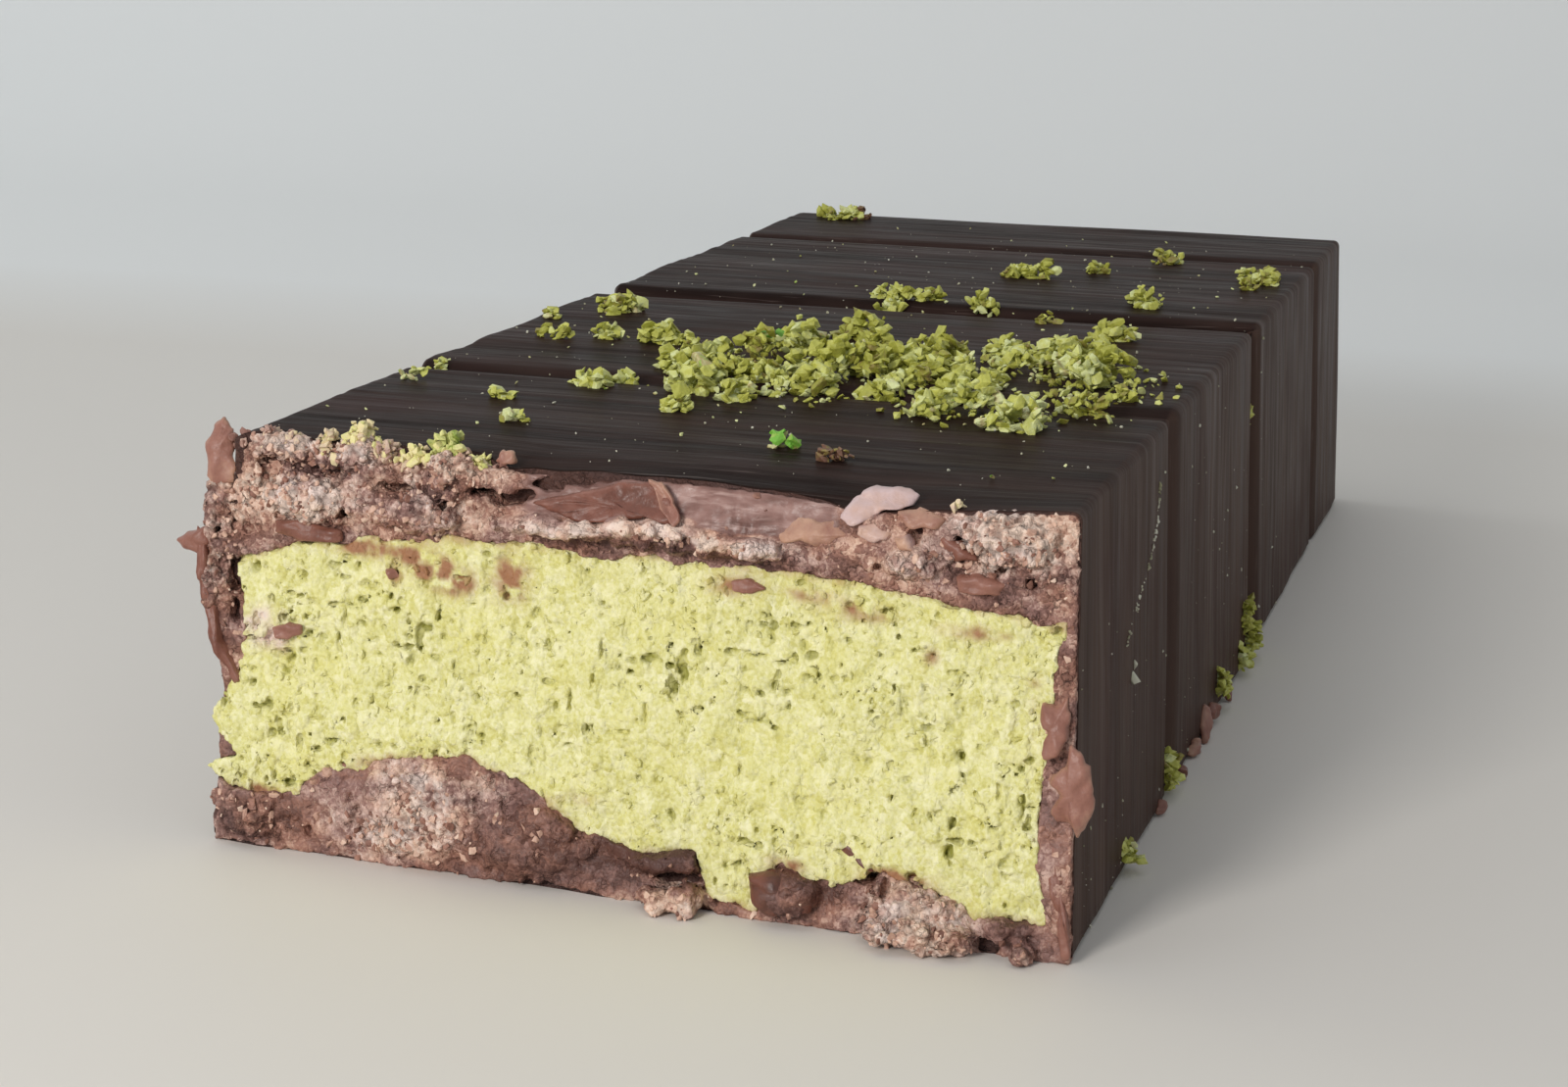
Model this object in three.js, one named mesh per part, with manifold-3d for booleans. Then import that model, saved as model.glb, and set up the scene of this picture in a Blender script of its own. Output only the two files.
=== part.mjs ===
// A filled chocolate bar, cut across near one end: a moulded dark shell round a crumbly
// pistachio filling, with chopped pistachio set on its top.
// Millimetres, +Z up. The bar runs along +Y, away from the cut. It is modelled from the lower
// right corner of the cut backwards, and then centred over the middle of its bounding box.

import * as THREE from 'three';
import { mergeVertices } from 'three/addons/utils/BufferGeometryUtils.js';
import Module from 'manifold-3d';

const wasm = await Module();
wasm.setup();

// ---- Driving dimensions of the bar ----
const WIDTH = 44; // across the top
const HEIGHT = 21;
const LENGTH = 106.6; // at the base, on the right side
const DRAFT = 0.8; // each wall leans out by this much from top to base
const EDGE_RADIUS = 0.45; // along the top
const BASE_CHAMFER = 0.4;
const END_RADIUS = 2.2; // round the far end
const SIDE_WALL = 1.5;
const TOP_WALL = 4.3;
const BASE_WALL = 2;
const END_WALL = 2.6;
const FILLING_GAP = 0.3; // between the filling and the shell

// ---- The cut: its left side lies further back than its right, and its top leans back ----
const CUT_YAW_SET = 2.7;
const CUT_LEAN_SET = 2.2;
const CUT_CELL = 1.15; // grid of the cut face's relief
const CUT_DEPTH = 5; // how far in the cut's unevenness reaches
const SHEAR_DEPTH = 25; // how far in the cross sections lie parallel to the cut
const FILLING_STEPS = { base: 24, side: 7, top: 9 }; // points on each side of the filling's outline

// ---- Moulded grooves across the bar: where each is, how deep and how wide ----
const GROOVES = [
  { y: 27, depth: 0.45, width: 1.6 },
  { y: 58.5, depth: 1.2, width: 2.4 },
  { y: 90, depth: 0.5, width: 1.6 },
];
const RIPPLE_LENGTH = 8.5;
const RIPPLE_DEPTH = 0.13;
const OUTER_START = -4; // the outside runs on this far in front of the cut until it is cut off

// ---- The filling's outline on the cut, [across, up] ----
const FILLING_TOP = [[-21.6, 14.7], [-18.5, 15.9], [-13, 16.6], [-5.5, 16.9], [3, 17.0],
  [10.3, 16.8], [17.5, 16.2], [21.5, 15.7]];
const FILLING_BASE = [[-22, 2.7], [-18, 2.9], [-16.5, 4.2], [-12.6, 5.4], [-8.3, 5.9], [-3.9, 4.2],
  [-1.8, 2.8], [0.5, 2.3], [3.9, 2.7], [4.6, 0.5], [7.2, 0.5], [8.2, 2.9], [11.5, 2.1],
  [13.4, 3.2], [15.4, 2.7], [17.8, 1.6], [21.6, 1.7]];
// Its two sides there, [up, across]. On the left the wall has broken away below 8.6 mm.
const FILLING_LEFT = [[2.7, -22], [3.9, -22.9], [4.6, -21.7], [6.4, -22.9], [8.3, -21.9],
  [9.6, -21.3], [14.7, -21.6]];
const FILLING_RIGHT = [[1.7, 21.6], [3.7, 21], [6, 20.9], [12.9, 21.2], [15.7, 21.5]];

// ---- Chopped pistachio on the top: [across, along, spread across, spread along, count, size] ----
const TOP_CRUMBS = [
  [0, 34, 8.6, 11.5, 44, 3.1],
  [12.5, 32.5, 8, 12.5, 36, 2.9],
  [-20.4, 22.5, 0.5, 0.5, 1, 1.4],
  [-20.9, 27.5, 0.5, 0.8, 2, 1.3],
  [-13.1, 19, 0.4, 0.4, 2, 1.6],
  [-10.5, 13.2, 0.5, 0.4, 2, 1.4],
  [-10.6, 24.5, 0.9, 0.8, 3, 2.1],
  [-9, 26.8, 0.9, 0.7, 2, 1.7],
  [-3.8, 19.6, 1, 0.8, 4, 2],
  [-17.5, 49.5, 1.6, 1.3, 4, 2.6],
  [-15.2, 39.5, 0.7, 0.9, 2, 2.1],
  [-18, 38.3, 0.8, 0.6, 2, 1.5],
  [-21, 46, 0.6, 3, 2, 1.4],
  [4.9, 12.2, 0.3, 0.3, 1, 1.6],
  [8, 9.8, 0.9, 0.3, 2, 1.6],
  [-1.2, 61, 2.6, 1.6, 6, 2.5],
  [4.1, 60, 0.7, 0.7, 2, 2.2],
  [3.2, 74.5, 1.3, 1.6, 4, 2.6],
  [8.2, 80, 0.9, 1, 2, 2],
  [11.4, 86, 0.9, 1.2, 2, 2],
  [13.4, 65.5, 0.9, 1, 2, 2.4],
  [14.6, 50.5, 1.3, 1, 3, 2.5],
  [9.4, 55.2, 0.5, 0.5, 1, 1.8],
  [19.4, 79, 1.6, 5.5, 7, 2.3],
  [-17.5, 101.5, 2, 1, 4, 2.3],
  [-11.3, 38.6, 1, 0.9, 4, 2.4],
];
// ---- and on the right-hand side: [along, up, spread along, spread up, count, size] ----
const SIDE_CRUMBS = [
  [58.5, 14.5, 0.8, 3.6, 5, 2],
  [55, 2.2, 4.5, 1.5, 8, 2.3],
  [43.5, 1.3, 1.6, 0.5, 3, 1.9],
  [26, 1.2, 2.6, 0.4, 3, 2.1],
  [14, 1, 1, 0.4, 2, 1.6],
];

const CRUMB_LIFT = 0.13; // how far a crumb's middle stands out of its ground, as a share of its size
const HEAP_COUNT = 20; // a group of this many or more is a heap
const HEAP_PILE = 2.4; // how much higher its middle crumbs may lie

// ---- Torn lumps of chocolate on the cut: [across, up, forward, wide, deep, tall] ----
const LUMPS = [
  [-19.6, 20.6, 0.2, 3.2, 2.2, 1.8],
  [-15.2, 20.9, 0.1, 3.2, 2.2, 1.9],
  [-9.6, 20.6, 0.3, 3, 2.4, 2.6],
  [-17.5, 18, 0.7, 5, 2.4, 2.6],
  [-11.5, 17.9, 0.6, 5, 2.4, 2],
  [12.2, 20.3, 0.4, 3.8, 3, 1.9],
  [19, 18.6, 0.3, 5, 2.2, 3.2],
  [-11.5, 3.2, 0.8, 7, 3, 4.4],
  [-5.5, 2.4, 0.6, 6, 2.6, 3.2],
  [-20.6, 2, 0.3, 3.6, 2, 3],
  [2.9, 0.8, 1.6, 3, 3, 1.5],
  [8.9, 1.6, 0.5, 3.4, 2.4, 2.6],
  [15.2, 0.9, 1.8, 6.6, 4.2, 1.8],
  [20.2, 0.6, 1.6, 1.3, 3, 1.1],
];
// ---- Flakes and shards: [from, to, width, thickness], each end [across, up, forward] ----
const SHARDS = [
  [[-22.1, 19, -0.6], [-23.1, 21.9, 0.3], 1.7, 0.9],
  [[-23, 14.6, -0.8], [-25.2, 15.4, 0.3], 2.3, 1.3],
  [[22.3, 12.6, -0.6], [23.1, 5.6, 1], 2.4, 0.9],
  [[22.1, 6.4, -0.4], [22.6, 0.6, 0.5], 1.5, 0.9],
];
// ---- Hollows broken out of the cut's lower edge: [across, up, forward, wide, deep, tall] ----
const HOLLOWS = [
  [1.2, 0.3, 0.6, 4, 3, 1.5],
  [18.9, 0.9, 0.6, 1.8, 3, 1.3],
  [11.4, 3.1, 0.3, 3, 3, 1.1],
];

// ---- Small mathematics ----
const clamp = (value, low, high) => Math.min(high, Math.max(low, value));
const mix = (from, to, share) => from + (to - from) * share;
const smooth = (share) => share * share * (3 - 2 * share);
const fade = (value, from, to) => smooth(clamp((value - from) / (to - from), 0, 1));

// The straight-line value at x of an outline whose points are [x, value].
function along(outline, x) {
  const last = outline.length - 1;
  if (x <= outline[0][0]) return outline[0][1];
  for (let i = 0; i < last; i++) {
    const [x0, v0] = outline[i];
    const [x1, v1] = outline[i + 1];
    if (x <= x1) return mix(v0, v1, (x - x0) / (x1 - x0));
  }
  return outline[last][1];
}

// The points that part a straight line into equal steps.
function between(from, to, steps) {
  const shares = Array.from({ length: steps - 1 }, (_, i) => (i + 1) / steps);
  return shares.map((share) => [mix(from[0], to[0], share), mix(from[1], to[1], share)]);
}

// A fixed number from -1 to 1 for each lattice point, and the smooth noise between them.
function lattice(i, j, seed) {
  const wave = Math.sin(i * 127.1 + j * 311.7 + seed * 74.7) * 43758.5453;
  return (wave - Math.floor(wave)) * 2 - 1;
}

function noise(x, y, seed) {
  const i = Math.floor(x);
  const j = Math.floor(y);
  const low = mix(lattice(i, j, seed), lattice(i + 1, j, seed), smooth(x - i));
  const high = mix(lattice(i, j + 1, seed), lattice(i + 1, j + 1, seed), smooth(x - i));
  return mix(low, high, smooth(y - j));
}

// A seeded source of numbers from 0 to 1.
function randomSource(seed) {
  let state = seed;
  return () => {
    state = (state * 1664525 + 1013904223) % 4294967296;
    return state / 4294967296;
  };
}

// ---- Solids: a closed geometry becomes a manifold, and back ----
function toSolid(geometry) {
  const bare = geometry.clone();
  bare.deleteAttribute('normal');
  bare.deleteAttribute('uv');
  const merged = mergeVertices(bare, 1e-5);
  return new wasm.Manifold(new wasm.Mesh({
    numProp: 3,
    vertProperties: new Float32Array(merged.attributes.position.array),
    triVerts: new Uint32Array(merged.index.array),
  }));
}

// Only the largest body is kept, so no loose scrap or sealed hollow stays.
function toGeometry(solid) {
  const bodies = solid.decompose();
  const largest = bodies.reduce((best, body) => (body.volume() > best.volume() ? body : best));
  const mesh = largest.getMesh();
  const geometry = new THREE.BufferGeometry();
  geometry.setAttribute('position', new THREE.BufferAttribute(mesh.vertProperties, 3));
  geometry.setIndex(new THREE.BufferAttribute(mesh.triVerts, 1));
  geometry.computeVertexNormals();
  return geometry;
}

// A closed skin through rings of equal count, each ring anticlockwise seen from the cut.
function loft(rings) {
  const count = rings[0].length;
  const positions = rings.flat().flatMap((point) => point.toArray());
  const faces = [];
  for (let ring = 0; ring < rings.length - 1; ring++) {
    for (let i = 0; i < count; i++) {
      const near = ring * count + i;
      const nearNext = ring * count + (i + 1) % count;
      faces.push(near, near + count, nearNext, nearNext, near + count, nearNext + count);
    }
  }
  const cap = (ring) => THREE.ShapeUtils.triangulateShape(
    rings[ring].map((point) => new THREE.Vector2(point.x, point.z)), []);
  const farStart = (rings.length - 1) * count;
  for (const [a, b, c] of cap(0)) faces.push(a, b, c);
  for (const [a, b, c] of cap(rings.length - 1)) faces.push(farStart + a, farStart + c, farStart + b);
  const geometry = new THREE.BufferGeometry();
  geometry.setAttribute('position', new THREE.Float32BufferAttribute(positions, 3));
  geometry.setIndex(faces);
  return geometry;
}

// ---- The cut face ----
// How far back the flat cut lies at a place on it.
function cutPlane(x, z) {
  return CUT_YAW_SET * (WIDTH / 2 - x) / WIDTH + CUT_LEAN_SET * z / HEIGHT;
}

// Torn chocolate: crumbly at the left and right, and a smooth scooped chip in the middle of the top.
function chocolateRelief(x, z) {
  const chip = fade(x, -8, -5) * (1 - fade(x, 8, 12)) * fade(z, 17.4, 18.4);
  const crumbly = 0.75 * noise(x / 2.3, z / 1.7, 1) + 0.4 * noise(x / 1.1, z / 1, 2);
  const scoop = 0.5 + 0.35 * (z - 17.4) + 0.3 * noise(x / 4, z / 3, 3);
  return mix(crumbly, scoop, chip);
}

// Crumbly filling: grains and small pits, with the drag of the knife down it.
function fillingRelief(x, z) {
  const grain = 0.32 * noise(x / 1.3, z / 1.3, 4);
  const drag = 0.22 * noise(x / 0.9, z / 4.5, 5);
  return grain + drag + 0.25 * noise(x / 7, z / 6, 6);
}

// A block that fills all behind the cut, with its relief on the front.
function cutBlock(relief) {
  const wide = WIDTH + 10;
  const tall = HEIGHT + 8;
  const deep = LENGTH + 20;
  const columns = Math.round(wide / CUT_CELL);
  const rows = Math.round(tall / CUT_CELL);
  const block = new THREE.BoxGeometry(wide, deep, tall, columns, 1, rows);
  block.translate(0, deep / 2, HEIGHT / 2);
  const position = block.attributes.position;
  for (let i = 0; i < position.count; i++) {
    if (position.getY(i) < 1) {
      const x = position.getX(i);
      const z = position.getZ(i);
      position.setY(i, cutPlane(x, z) + relief(x, z));
    }
  }
  return toSolid(block);
}

// ---- The moulded outside ----
// How far the skin lies inside the plain shape: grooves and soft ripples along the bar.
function moulding(y) {
  const groove = GROOVES.reduce((sum, { y: middle, depth, width }) => {
    const share = clamp(1 - Math.abs(y - middle) / width, 0, 1);
    return sum + depth * share;
  }, 0);
  return groove + RIPPLE_DEPTH * noise(y / RIPPLE_LENGTH * 2, 0.5, 7);
}

// The left wall is pushed outwards where the knife came through.
function bulge(x, y, z) {
  if (x > 0) return 0;
  const height = fade(z, 7.5, 12) * (1 - fade(z, 15, 19));
  return 1.15 * height * (1 - fade(y, 2.5, 8.5));
}

// One outline across the bar at a distance along it, drawn in by the end's rounding.
function outerRing(y, drawIn) {
  const inset = moulding(y) + drawIn;
  const halfAt = (z) => WIDTH / 2 + DRAFT * (1 - z / HEIGHT) - inset;
  const top = HEIGHT - inset;
  const rightSide = [[halfAt(0) - BASE_CHAMFER, 0], [halfAt(0), BASE_CHAMFER]];
  for (const share of [0.22, 0.42, 0.6, 0.78]) rightSide.push([halfAt(share * top), share * top]);
  for (const degrees of [0, 30, 60, 90]) {
    const turn = THREE.MathUtils.degToRad(degrees);
    const middle = halfAt(HEIGHT) - EDGE_RADIUS;
    const up = top - EDGE_RADIUS * (1 - Math.sin(turn));
    rightSide.push([middle + EDGE_RADIUS * Math.cos(turn), up]);
  }
  const leftSide = rightSide.map(([x, z]) => [-x, z]).reverse();
  const roof = between(rightSide.at(-1), leftSide[0], 5);
  const base = between(leftSide.at(-1), rightSide[0], 2);
  return [...rightSide, ...roof, ...leftSide, ...base].map(([x, z]) => new THREE.Vector3(
    x - bulge(x, y, z), y - DRAFT * (z / HEIGHT) * fade(y, LENGTH / 2, LENGTH), z));
}

// Where the rings stand: even steps, with three at each groove instead.
function outerStations() {
  const stations = [];
  for (let y = OUTER_START; y < LENGTH - END_RADIUS - 1; y += RIPPLE_LENGTH / 2) {
    const atGroove = GROOVES.some(({ y: middle, width }) => Math.abs(y - middle) < width + 0.7);
    if (!atGroove) stations.push(y);
  }
  for (const { y, width } of GROOVES) stations.push(y - width, y, y + width);
  return stations.sort((a, b) => a - b);
}

function outerBody() {
  const rings = outerStations().map((y) => outerRing(y, 0));
  for (const degrees of [0, 30, 55, 75, 90]) {
    const turn = THREE.MathUtils.degToRad(degrees);
    const y = LENGTH - END_RADIUS * (1 - Math.sin(turn));
    rings.push(outerRing(y, END_RADIUS * 0.8 * (1 - Math.cos(turn))));
  }
  return toSolid(loft(rings));
}

// ---- The filling, and the room for it in the shell ----
// One side of the filling's outline as [place, offset]: at the cut it follows the uneven outline
// there, and further in the straight line at one offset.
function fillingSide(outline, shares, even, [evenFrom, evenTo], evenOffset) {
  return shares.map((share) => {
    const place = mix(outline[0][0], outline.at(-1)[0], share);
    const evenPlace = mix(evenFrom, evenTo, share);
    return [mix(place, evenPlace, even), mix(along(outline, place), evenOffset, even)];
  });
}

// One outline across the filling at a depth behind the cut, grown outwards by a margin.
function fillingRing(depth, grow) {
  const even = fade(depth, 0.6, CUT_DEPTH);
  const half = WIDTH / 2 - SIDE_WALL;
  const floor = BASE_WALL;
  const roof = HEIGHT - TOP_WALL;
  const across = [-half, half];
  const up = [floor, roof];
  const forward = (steps) => Array.from({ length: steps }, (_, i) => i / steps);
  const backward = (steps) => forward(steps).map((share) => 1 - share);
  const { base, side, top } = FILLING_STEPS;
  const points = [
    ...fillingSide(FILLING_BASE, forward(base), even, across, floor).map(([x, z]) => [x, z, 0, -1]),
    ...fillingSide(FILLING_RIGHT, forward(side), even, up, half).map(([z, x]) => [x, z, 1, 0]),
    ...fillingSide(FILLING_TOP, backward(top), even, across, roof).map(([x, z]) => [x, z, 0, 1]),
    ...fillingSide(FILLING_LEFT, backward(side), even, up, -half).map(([z, x]) => [x, z, -1, 0]),
  ];
  const centre = (floor + roof) / 2;
  const shear = 1 - fade(depth, 0, SHEAR_DEPTH);
  return points.map(([x, z, outX, outZ]) => {
    const pushX = grow * (outX || clamp(x / half, -1, 1));
    const pushZ = grow * (outZ || clamp((z - centre) / (roof - centre), -1, 1));
    return new THREE.Vector3(x + pushX, depth + cutPlane(x, z) * shear, z + pushZ);
  });
}

function fillingBody(grow) {
  const depths = [-4, 0, 1.5, 3, CUT_DEPTH, SHEAR_DEPTH];
  const rings = depths.map((depth) => fillingRing(depth, grow));
  rings.push(fillingRing(LENGTH - END_WALL + grow, grow));
  return toSolid(loft(rings));
}

// ---- Lumps, shards and crumbs ----
// An uneven pebble of 20 faces with about the given full size.
function pebble(wide, deep, tall, random) {
  const round = new THREE.IcosahedronGeometry(0.5, 0);
  round.deleteAttribute('normal');
  round.deleteAttribute('uv');
  const shape = mergeVertices(round);
  const position = shape.attributes.position;
  for (let i = 0; i < position.count; i++) {
    const swell = 0.78 + 0.44 * random();
    position.setXYZ(i, position.getX(i) * swell, position.getY(i) * swell, position.getZ(i) * swell);
  }
  shape.scale(wide, deep, tall);
  return shape;
}

// Lumps and hollows sit on the cut by their place across and up it.
function onCut(list, seed) {
  const random = randomSource(seed);
  return list.map(([x, z, forward, wide, deep, tall]) => {
    const shape = pebble(wide, deep, tall, random);
    shape.translate(x, cutPlane(x, z) - forward + deep * 0.25, z);
    return toSolid(shape);
  });
}

// A torn flake: a four-sided plate that narrows from its root to its tip.
function shard([from, to, width, thickness]) {
  const place = ([x, z, forward]) => new THREE.Vector3(x, cutPlane(x, z) - forward, z);
  const root = place(from);
  const tip = place(to);
  const run = tip.clone().sub(root);
  const shape = new THREE.CylinderGeometry(0.16, 0.5, 1, 5, 2);
  const position = shape.attributes.position;
  for (let i = 0; i < position.count; i++) {
    const up = position.getY(i) + 0.5;
    position.setX(i, position.getX(i) + 0.22 * Math.sin(up * Math.PI));
  }
  shape.scale(thickness, run.length(), width);
  shape.translate(0, run.length() / 2, 0);
  const turn = new THREE.Quaternion().setFromUnitVectors(new THREE.Vector3(0, 1, 0), run.normalize());
  shape.applyQuaternion(turn);
  shape.translate(root.x, root.y, root.z);
  return toSolid(shape);
}

// Crumbs of one scatter, the largest of each group first. In a heap the middle ones lie higher.
function scatter(list, seed, place) {
  const random = randomSource(seed);
  const crumbs = [];
  for (const [a, b, spreadA, spreadB, count, size] of list) {
    for (let i = 0; i < count; i++) {
      const turn = random() * Math.PI * 2;
      const reach = Math.sqrt(random());
      const full = size * (1 - 0.55 * (i / count)) * (0.85 + 0.3 * random());
      const shape = pebble(full, full * (0.6 + 0.4 * random()), full * (0.5 + 0.35 * random()), random);
      shape.rotateZ(random() * Math.PI * 2);
      const pile = count >= HEAP_COUNT ? HEAP_PILE * (1 - reach) * random() : 0;
      place(shape, a + spreadA * reach * Math.cos(turn), b + spreadB * reach * Math.sin(turn), full, pile);
      crumbs.push(toSolid(shape));
    }
  }
  return crumbs;
}

function topCrumbs() {
  return scatter(TOP_CRUMBS, 41, (shape, x, y, size, pile) => {
    const edge = WIDTH / 2 - EDGE_RADIUS;
    shape.translate(clamp(x, -edge, edge), y, HEIGHT - moulding(y) + size * CRUMB_LIFT + pile);
  });
}

function sideCrumbs() {
  return scatter(SIDE_CRUMBS, 43, (shape, y, z, size) => {
    const height = Math.max(z, size * 0.36);
    const wall = WIDTH / 2 + DRAFT * (1 - height / HEIGHT) - moulding(y);
    shape.rotateY(Math.PI / 2);
    shape.translate(wall + size * CRUMB_LIFT, y, height);
  });
}

// Nothing reaches below the base that the bar rests on.
function aboveBase(solid) {
  const slab = new THREE.BoxGeometry(WIDTH * 2, LENGTH * 2, HEIGHT * 3);
  slab.translate(0, LENGTH / 2, HEIGHT * 1.5);
  return solid.intersect(toSolid(slab));
}

const joined = (solid, list) => list.reduce((whole, piece) => whole.add(piece), solid);
const hollowed = (solid, list) => list.reduce((whole, piece) => whole.subtract(piece), solid);

// ---- The two pieces ----
function chocolateShell() {
  const cutBar = outerBody().intersect(cutBlock(chocolateRelief));
  const torn = joined(cutBar, onCut(LUMPS, 11));
  const flaked = joined(hollowed(torn, onCut(HOLLOWS, 12)), SHARDS.map(shard));
  const open = flaked.subtract(fillingBody(FILLING_GAP));
  const topped = joined(joined(open, topCrumbs()), sideCrumbs());
  return toGeometry(aboveBase(topped));
}

function pistachioFilling() {
  return toGeometry(aboveBase(fillingBody(0).intersect(cutBlock(fillingRelief))));
}

const chocolate = new THREE.MeshStandardMaterial({ color: 0x3a2b29, roughness: 0.3, metalness: 0 });
const pistachio = new THREE.MeshStandardMaterial({ color: 0xd9d897, roughness: 0.85, metalness: 0 });

const bar = new THREE.Group();
const pieces = [
  ['chocolate_shell', chocolateShell(), chocolate],
  ['pistachio_filling', pistachioFilling(), pistachio],
];
const box = new THREE.Box3();
for (const [, geometry] of pieces) {
  geometry.computeBoundingBox();
  box.union(geometry.boundingBox);
}
const middle = box.getCenter(new THREE.Vector3());
for (const [name, geometry, material] of pieces) {
  const mesh = new THREE.Mesh(geometry, material);
  mesh.name = name;
  mesh.position.set(-middle.x, -middle.y, -box.min.z);
  bar.add(mesh);
}

export default bar;
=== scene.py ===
"""Looks for a filled chocolate bar that is cut across near one end.

A glossy moulded shell, the torn chocolate on its cut, the crumbly pistachio filling, flakes,
chopped pistachio and nut dust, a line of which is a painted highlight, each made round the fixed frame,
with a floor, lights and a camera.
Shapes are worked out in millimetres from the cut's lower right corner (+X right, +Y back, +Z up)
and moved to the frame, in metres, when a mesh is made. On the cut, depth is the distance behind
the slanting plane of the knife.
"""

import math

import bmesh
import bpy
import numpy as np
from bpy.props import FloatProperty, FloatVectorProperty, PointerProperty
from mathutils import Matrix, Vector


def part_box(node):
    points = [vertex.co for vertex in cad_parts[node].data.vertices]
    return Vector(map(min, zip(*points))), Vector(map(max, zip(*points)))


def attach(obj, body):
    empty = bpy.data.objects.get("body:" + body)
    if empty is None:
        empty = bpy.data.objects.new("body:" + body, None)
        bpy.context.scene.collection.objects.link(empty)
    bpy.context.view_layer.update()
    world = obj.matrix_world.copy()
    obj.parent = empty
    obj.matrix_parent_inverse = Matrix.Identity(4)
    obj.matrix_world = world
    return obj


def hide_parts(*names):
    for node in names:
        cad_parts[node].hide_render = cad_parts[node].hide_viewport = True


bl_info = {
    "name": "Filled Chocolate Bar",
    "version": (1, 0, 0),
    "blender": (4, 5, 0),
    "location": "View3D > Sidebar > Chocolate Bar",
    "description": "Builds a cut chocolate bar with a crumbly pistachio filling and chopped nuts",
    "category": "Object",
}

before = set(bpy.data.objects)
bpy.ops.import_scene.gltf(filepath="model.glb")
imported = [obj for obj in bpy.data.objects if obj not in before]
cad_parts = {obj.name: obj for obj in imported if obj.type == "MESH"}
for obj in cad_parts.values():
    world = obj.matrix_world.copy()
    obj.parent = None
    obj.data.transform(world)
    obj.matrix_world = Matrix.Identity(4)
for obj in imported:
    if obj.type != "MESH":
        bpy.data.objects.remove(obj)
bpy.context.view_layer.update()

# ---- The bar's own sizes, in millimetres, as in the part's source ----
MM = 0.001
WIDTH = 44.0
HEIGHT = 21.0
LENGTH = 106.6
DRAFT = 0.8
EDGE_RADIUS = 0.45
END_RADIUS = 2.2
SIDE_WALL = 1.5
TOP_WALL = 4.3
BASE_WALL = 2.0
END_WALL = 2.6
CUT_YAW_SET = 2.7
CUT_LEAN_SET = 2.2
CUT_DEPTH = 5.0
SHEAR_DEPTH = 25.0
GROOVES = ((27.0, 0.45, 1.6), (58.5, 1.2, 2.4), (90.0, 0.5, 1.6))
RIPPLE_LENGTH = 8.5
RIPPLE_DEPTH = 0.13
RIPPLE_SEED = 7
BULGE_DEPTH = 1.15
SAG_LENGTH = 3.5
FILLING_TOP = ((-21.6, 14.7), (-18.5, 15.9), (-13, 16.6), (-5.5, 16.9), (3, 17.0), (10.3, 16.8),
               (17.5, 16.2), (21.5, 15.7))
FILLING_BASE = ((-22, 2.7), (-18, 2.9), (-16.5, 4.2), (-12.6, 5.4), (-8.3, 5.9), (-3.9, 4.2),
                (-1.8, 2.8), (0.5, 2.3), (3.9, 2.7), (4.6, 0.5), (7.2, 0.5), (8.2, 2.9),
                (11.5, 2.1), (13.4, 3.2), (15.4, 2.7), (17.8, 1.6), (21.6, 1.7))
FILLING_LEFT = ((2.7, -22), (3.9, -22.9), (4.6, -21.7), (6.4, -22.9), (8.3, -21.9), (9.6, -21.3),
                (14.7, -21.6))
FILLING_RIGHT = ((1.7, 21.6), (3.7, 21), (6, 20.9), (12.9, 21.2), (15.7, 21.5))
# How far the knife has pressed the top down at the cut, across it.
TOP_SAG = ((-22, 0.0), (-10, 0.3), (-6, 0.8), (-1.7, 0.55), (2.6, 0.45), (6.3, 0.6), (11.9, 1.0),
           (14.8, 0.6), (17.7, 0.4), (21.8, 0.05))

# Crumb groups: [across, along, spread across, spread along, count, size], then on the right side
# [along, up, spread along, spread up, count, size].
TOP_CRUMBS = (
    (0, 34, 8.6, 11.5, 44, 3.1), (12.5, 32.5, 8, 12.5, 36, 2.9), (-20.4, 22.5, 0.5, 0.5, 1, 1.4),
    (-20.9, 27.5, 0.5, 0.8, 2, 1.3), (-13.1, 19, 0.4, 0.4, 2, 1.6), (-10.5, 13.2, 0.5, 0.4, 2, 1.4),
    (-10.6, 24.5, 0.9, 0.8, 3, 2.1), (-9, 26.8, 0.9, 0.7, 2, 1.7), (-3.8, 19.6, 1, 0.8, 4, 2),
    (-17.5, 49.5, 1.6, 1.3, 4, 2.6), (-15.2, 39.5, 0.7, 0.9, 2, 2.1), (-18, 38.3, 0.8, 0.6, 2, 1.5),
    (-21, 46, 0.6, 3, 2, 1.4), (4.9, 12.2, 0.3, 0.3, 1, 1.6), (8, 9.8, 0.9, 0.3, 2, 1.6),
    (-1.2, 61, 2.6, 1.6, 6, 2.5), (4.1, 60, 0.7, 0.7, 2, 2.2), (3.2, 74.5, 1.3, 1.6, 4, 2.6),
    (8.2, 80, 0.9, 1, 2, 2), (11.4, 86, 0.9, 1.2, 2, 2), (13.4, 65.5, 0.9, 1, 2, 2.4),
    (14.6, 50.5, 1.3, 1, 3, 2.5), (9.4, 55.2, 0.5, 0.5, 1, 1.8), (19.4, 79, 1.6, 5.5, 7, 2.3),
    (-17.5, 101.5, 2, 1, 4, 2.3), (-11.3, 38.6, 1, 0.9, 4, 2.4),
)
SIDE_CRUMBS = (
    (58.5, 14.5, 0.8, 3.6, 5, 2), (55, 2.2, 4.5, 1.5, 8, 2.3), (43.5, 1.3, 1.6, 0.5, 3, 1.9),
    (26, 1.2, 2.6, 0.4, 3, 2.1), (14, 1, 1, 0.4, 2, 1.6),
)
CRUMB_LIFT = 0.13
HEAP_COUNT = 20
HEAP_PILE = 2.4
TOP_SEED = 41
SIDE_SEED = 43
# How many numbers the source draws for a crumb's corners, which aren't needed here.
CORNER_DRAWS = 12

# ---- Where the bar lies in the frame ----


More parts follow.
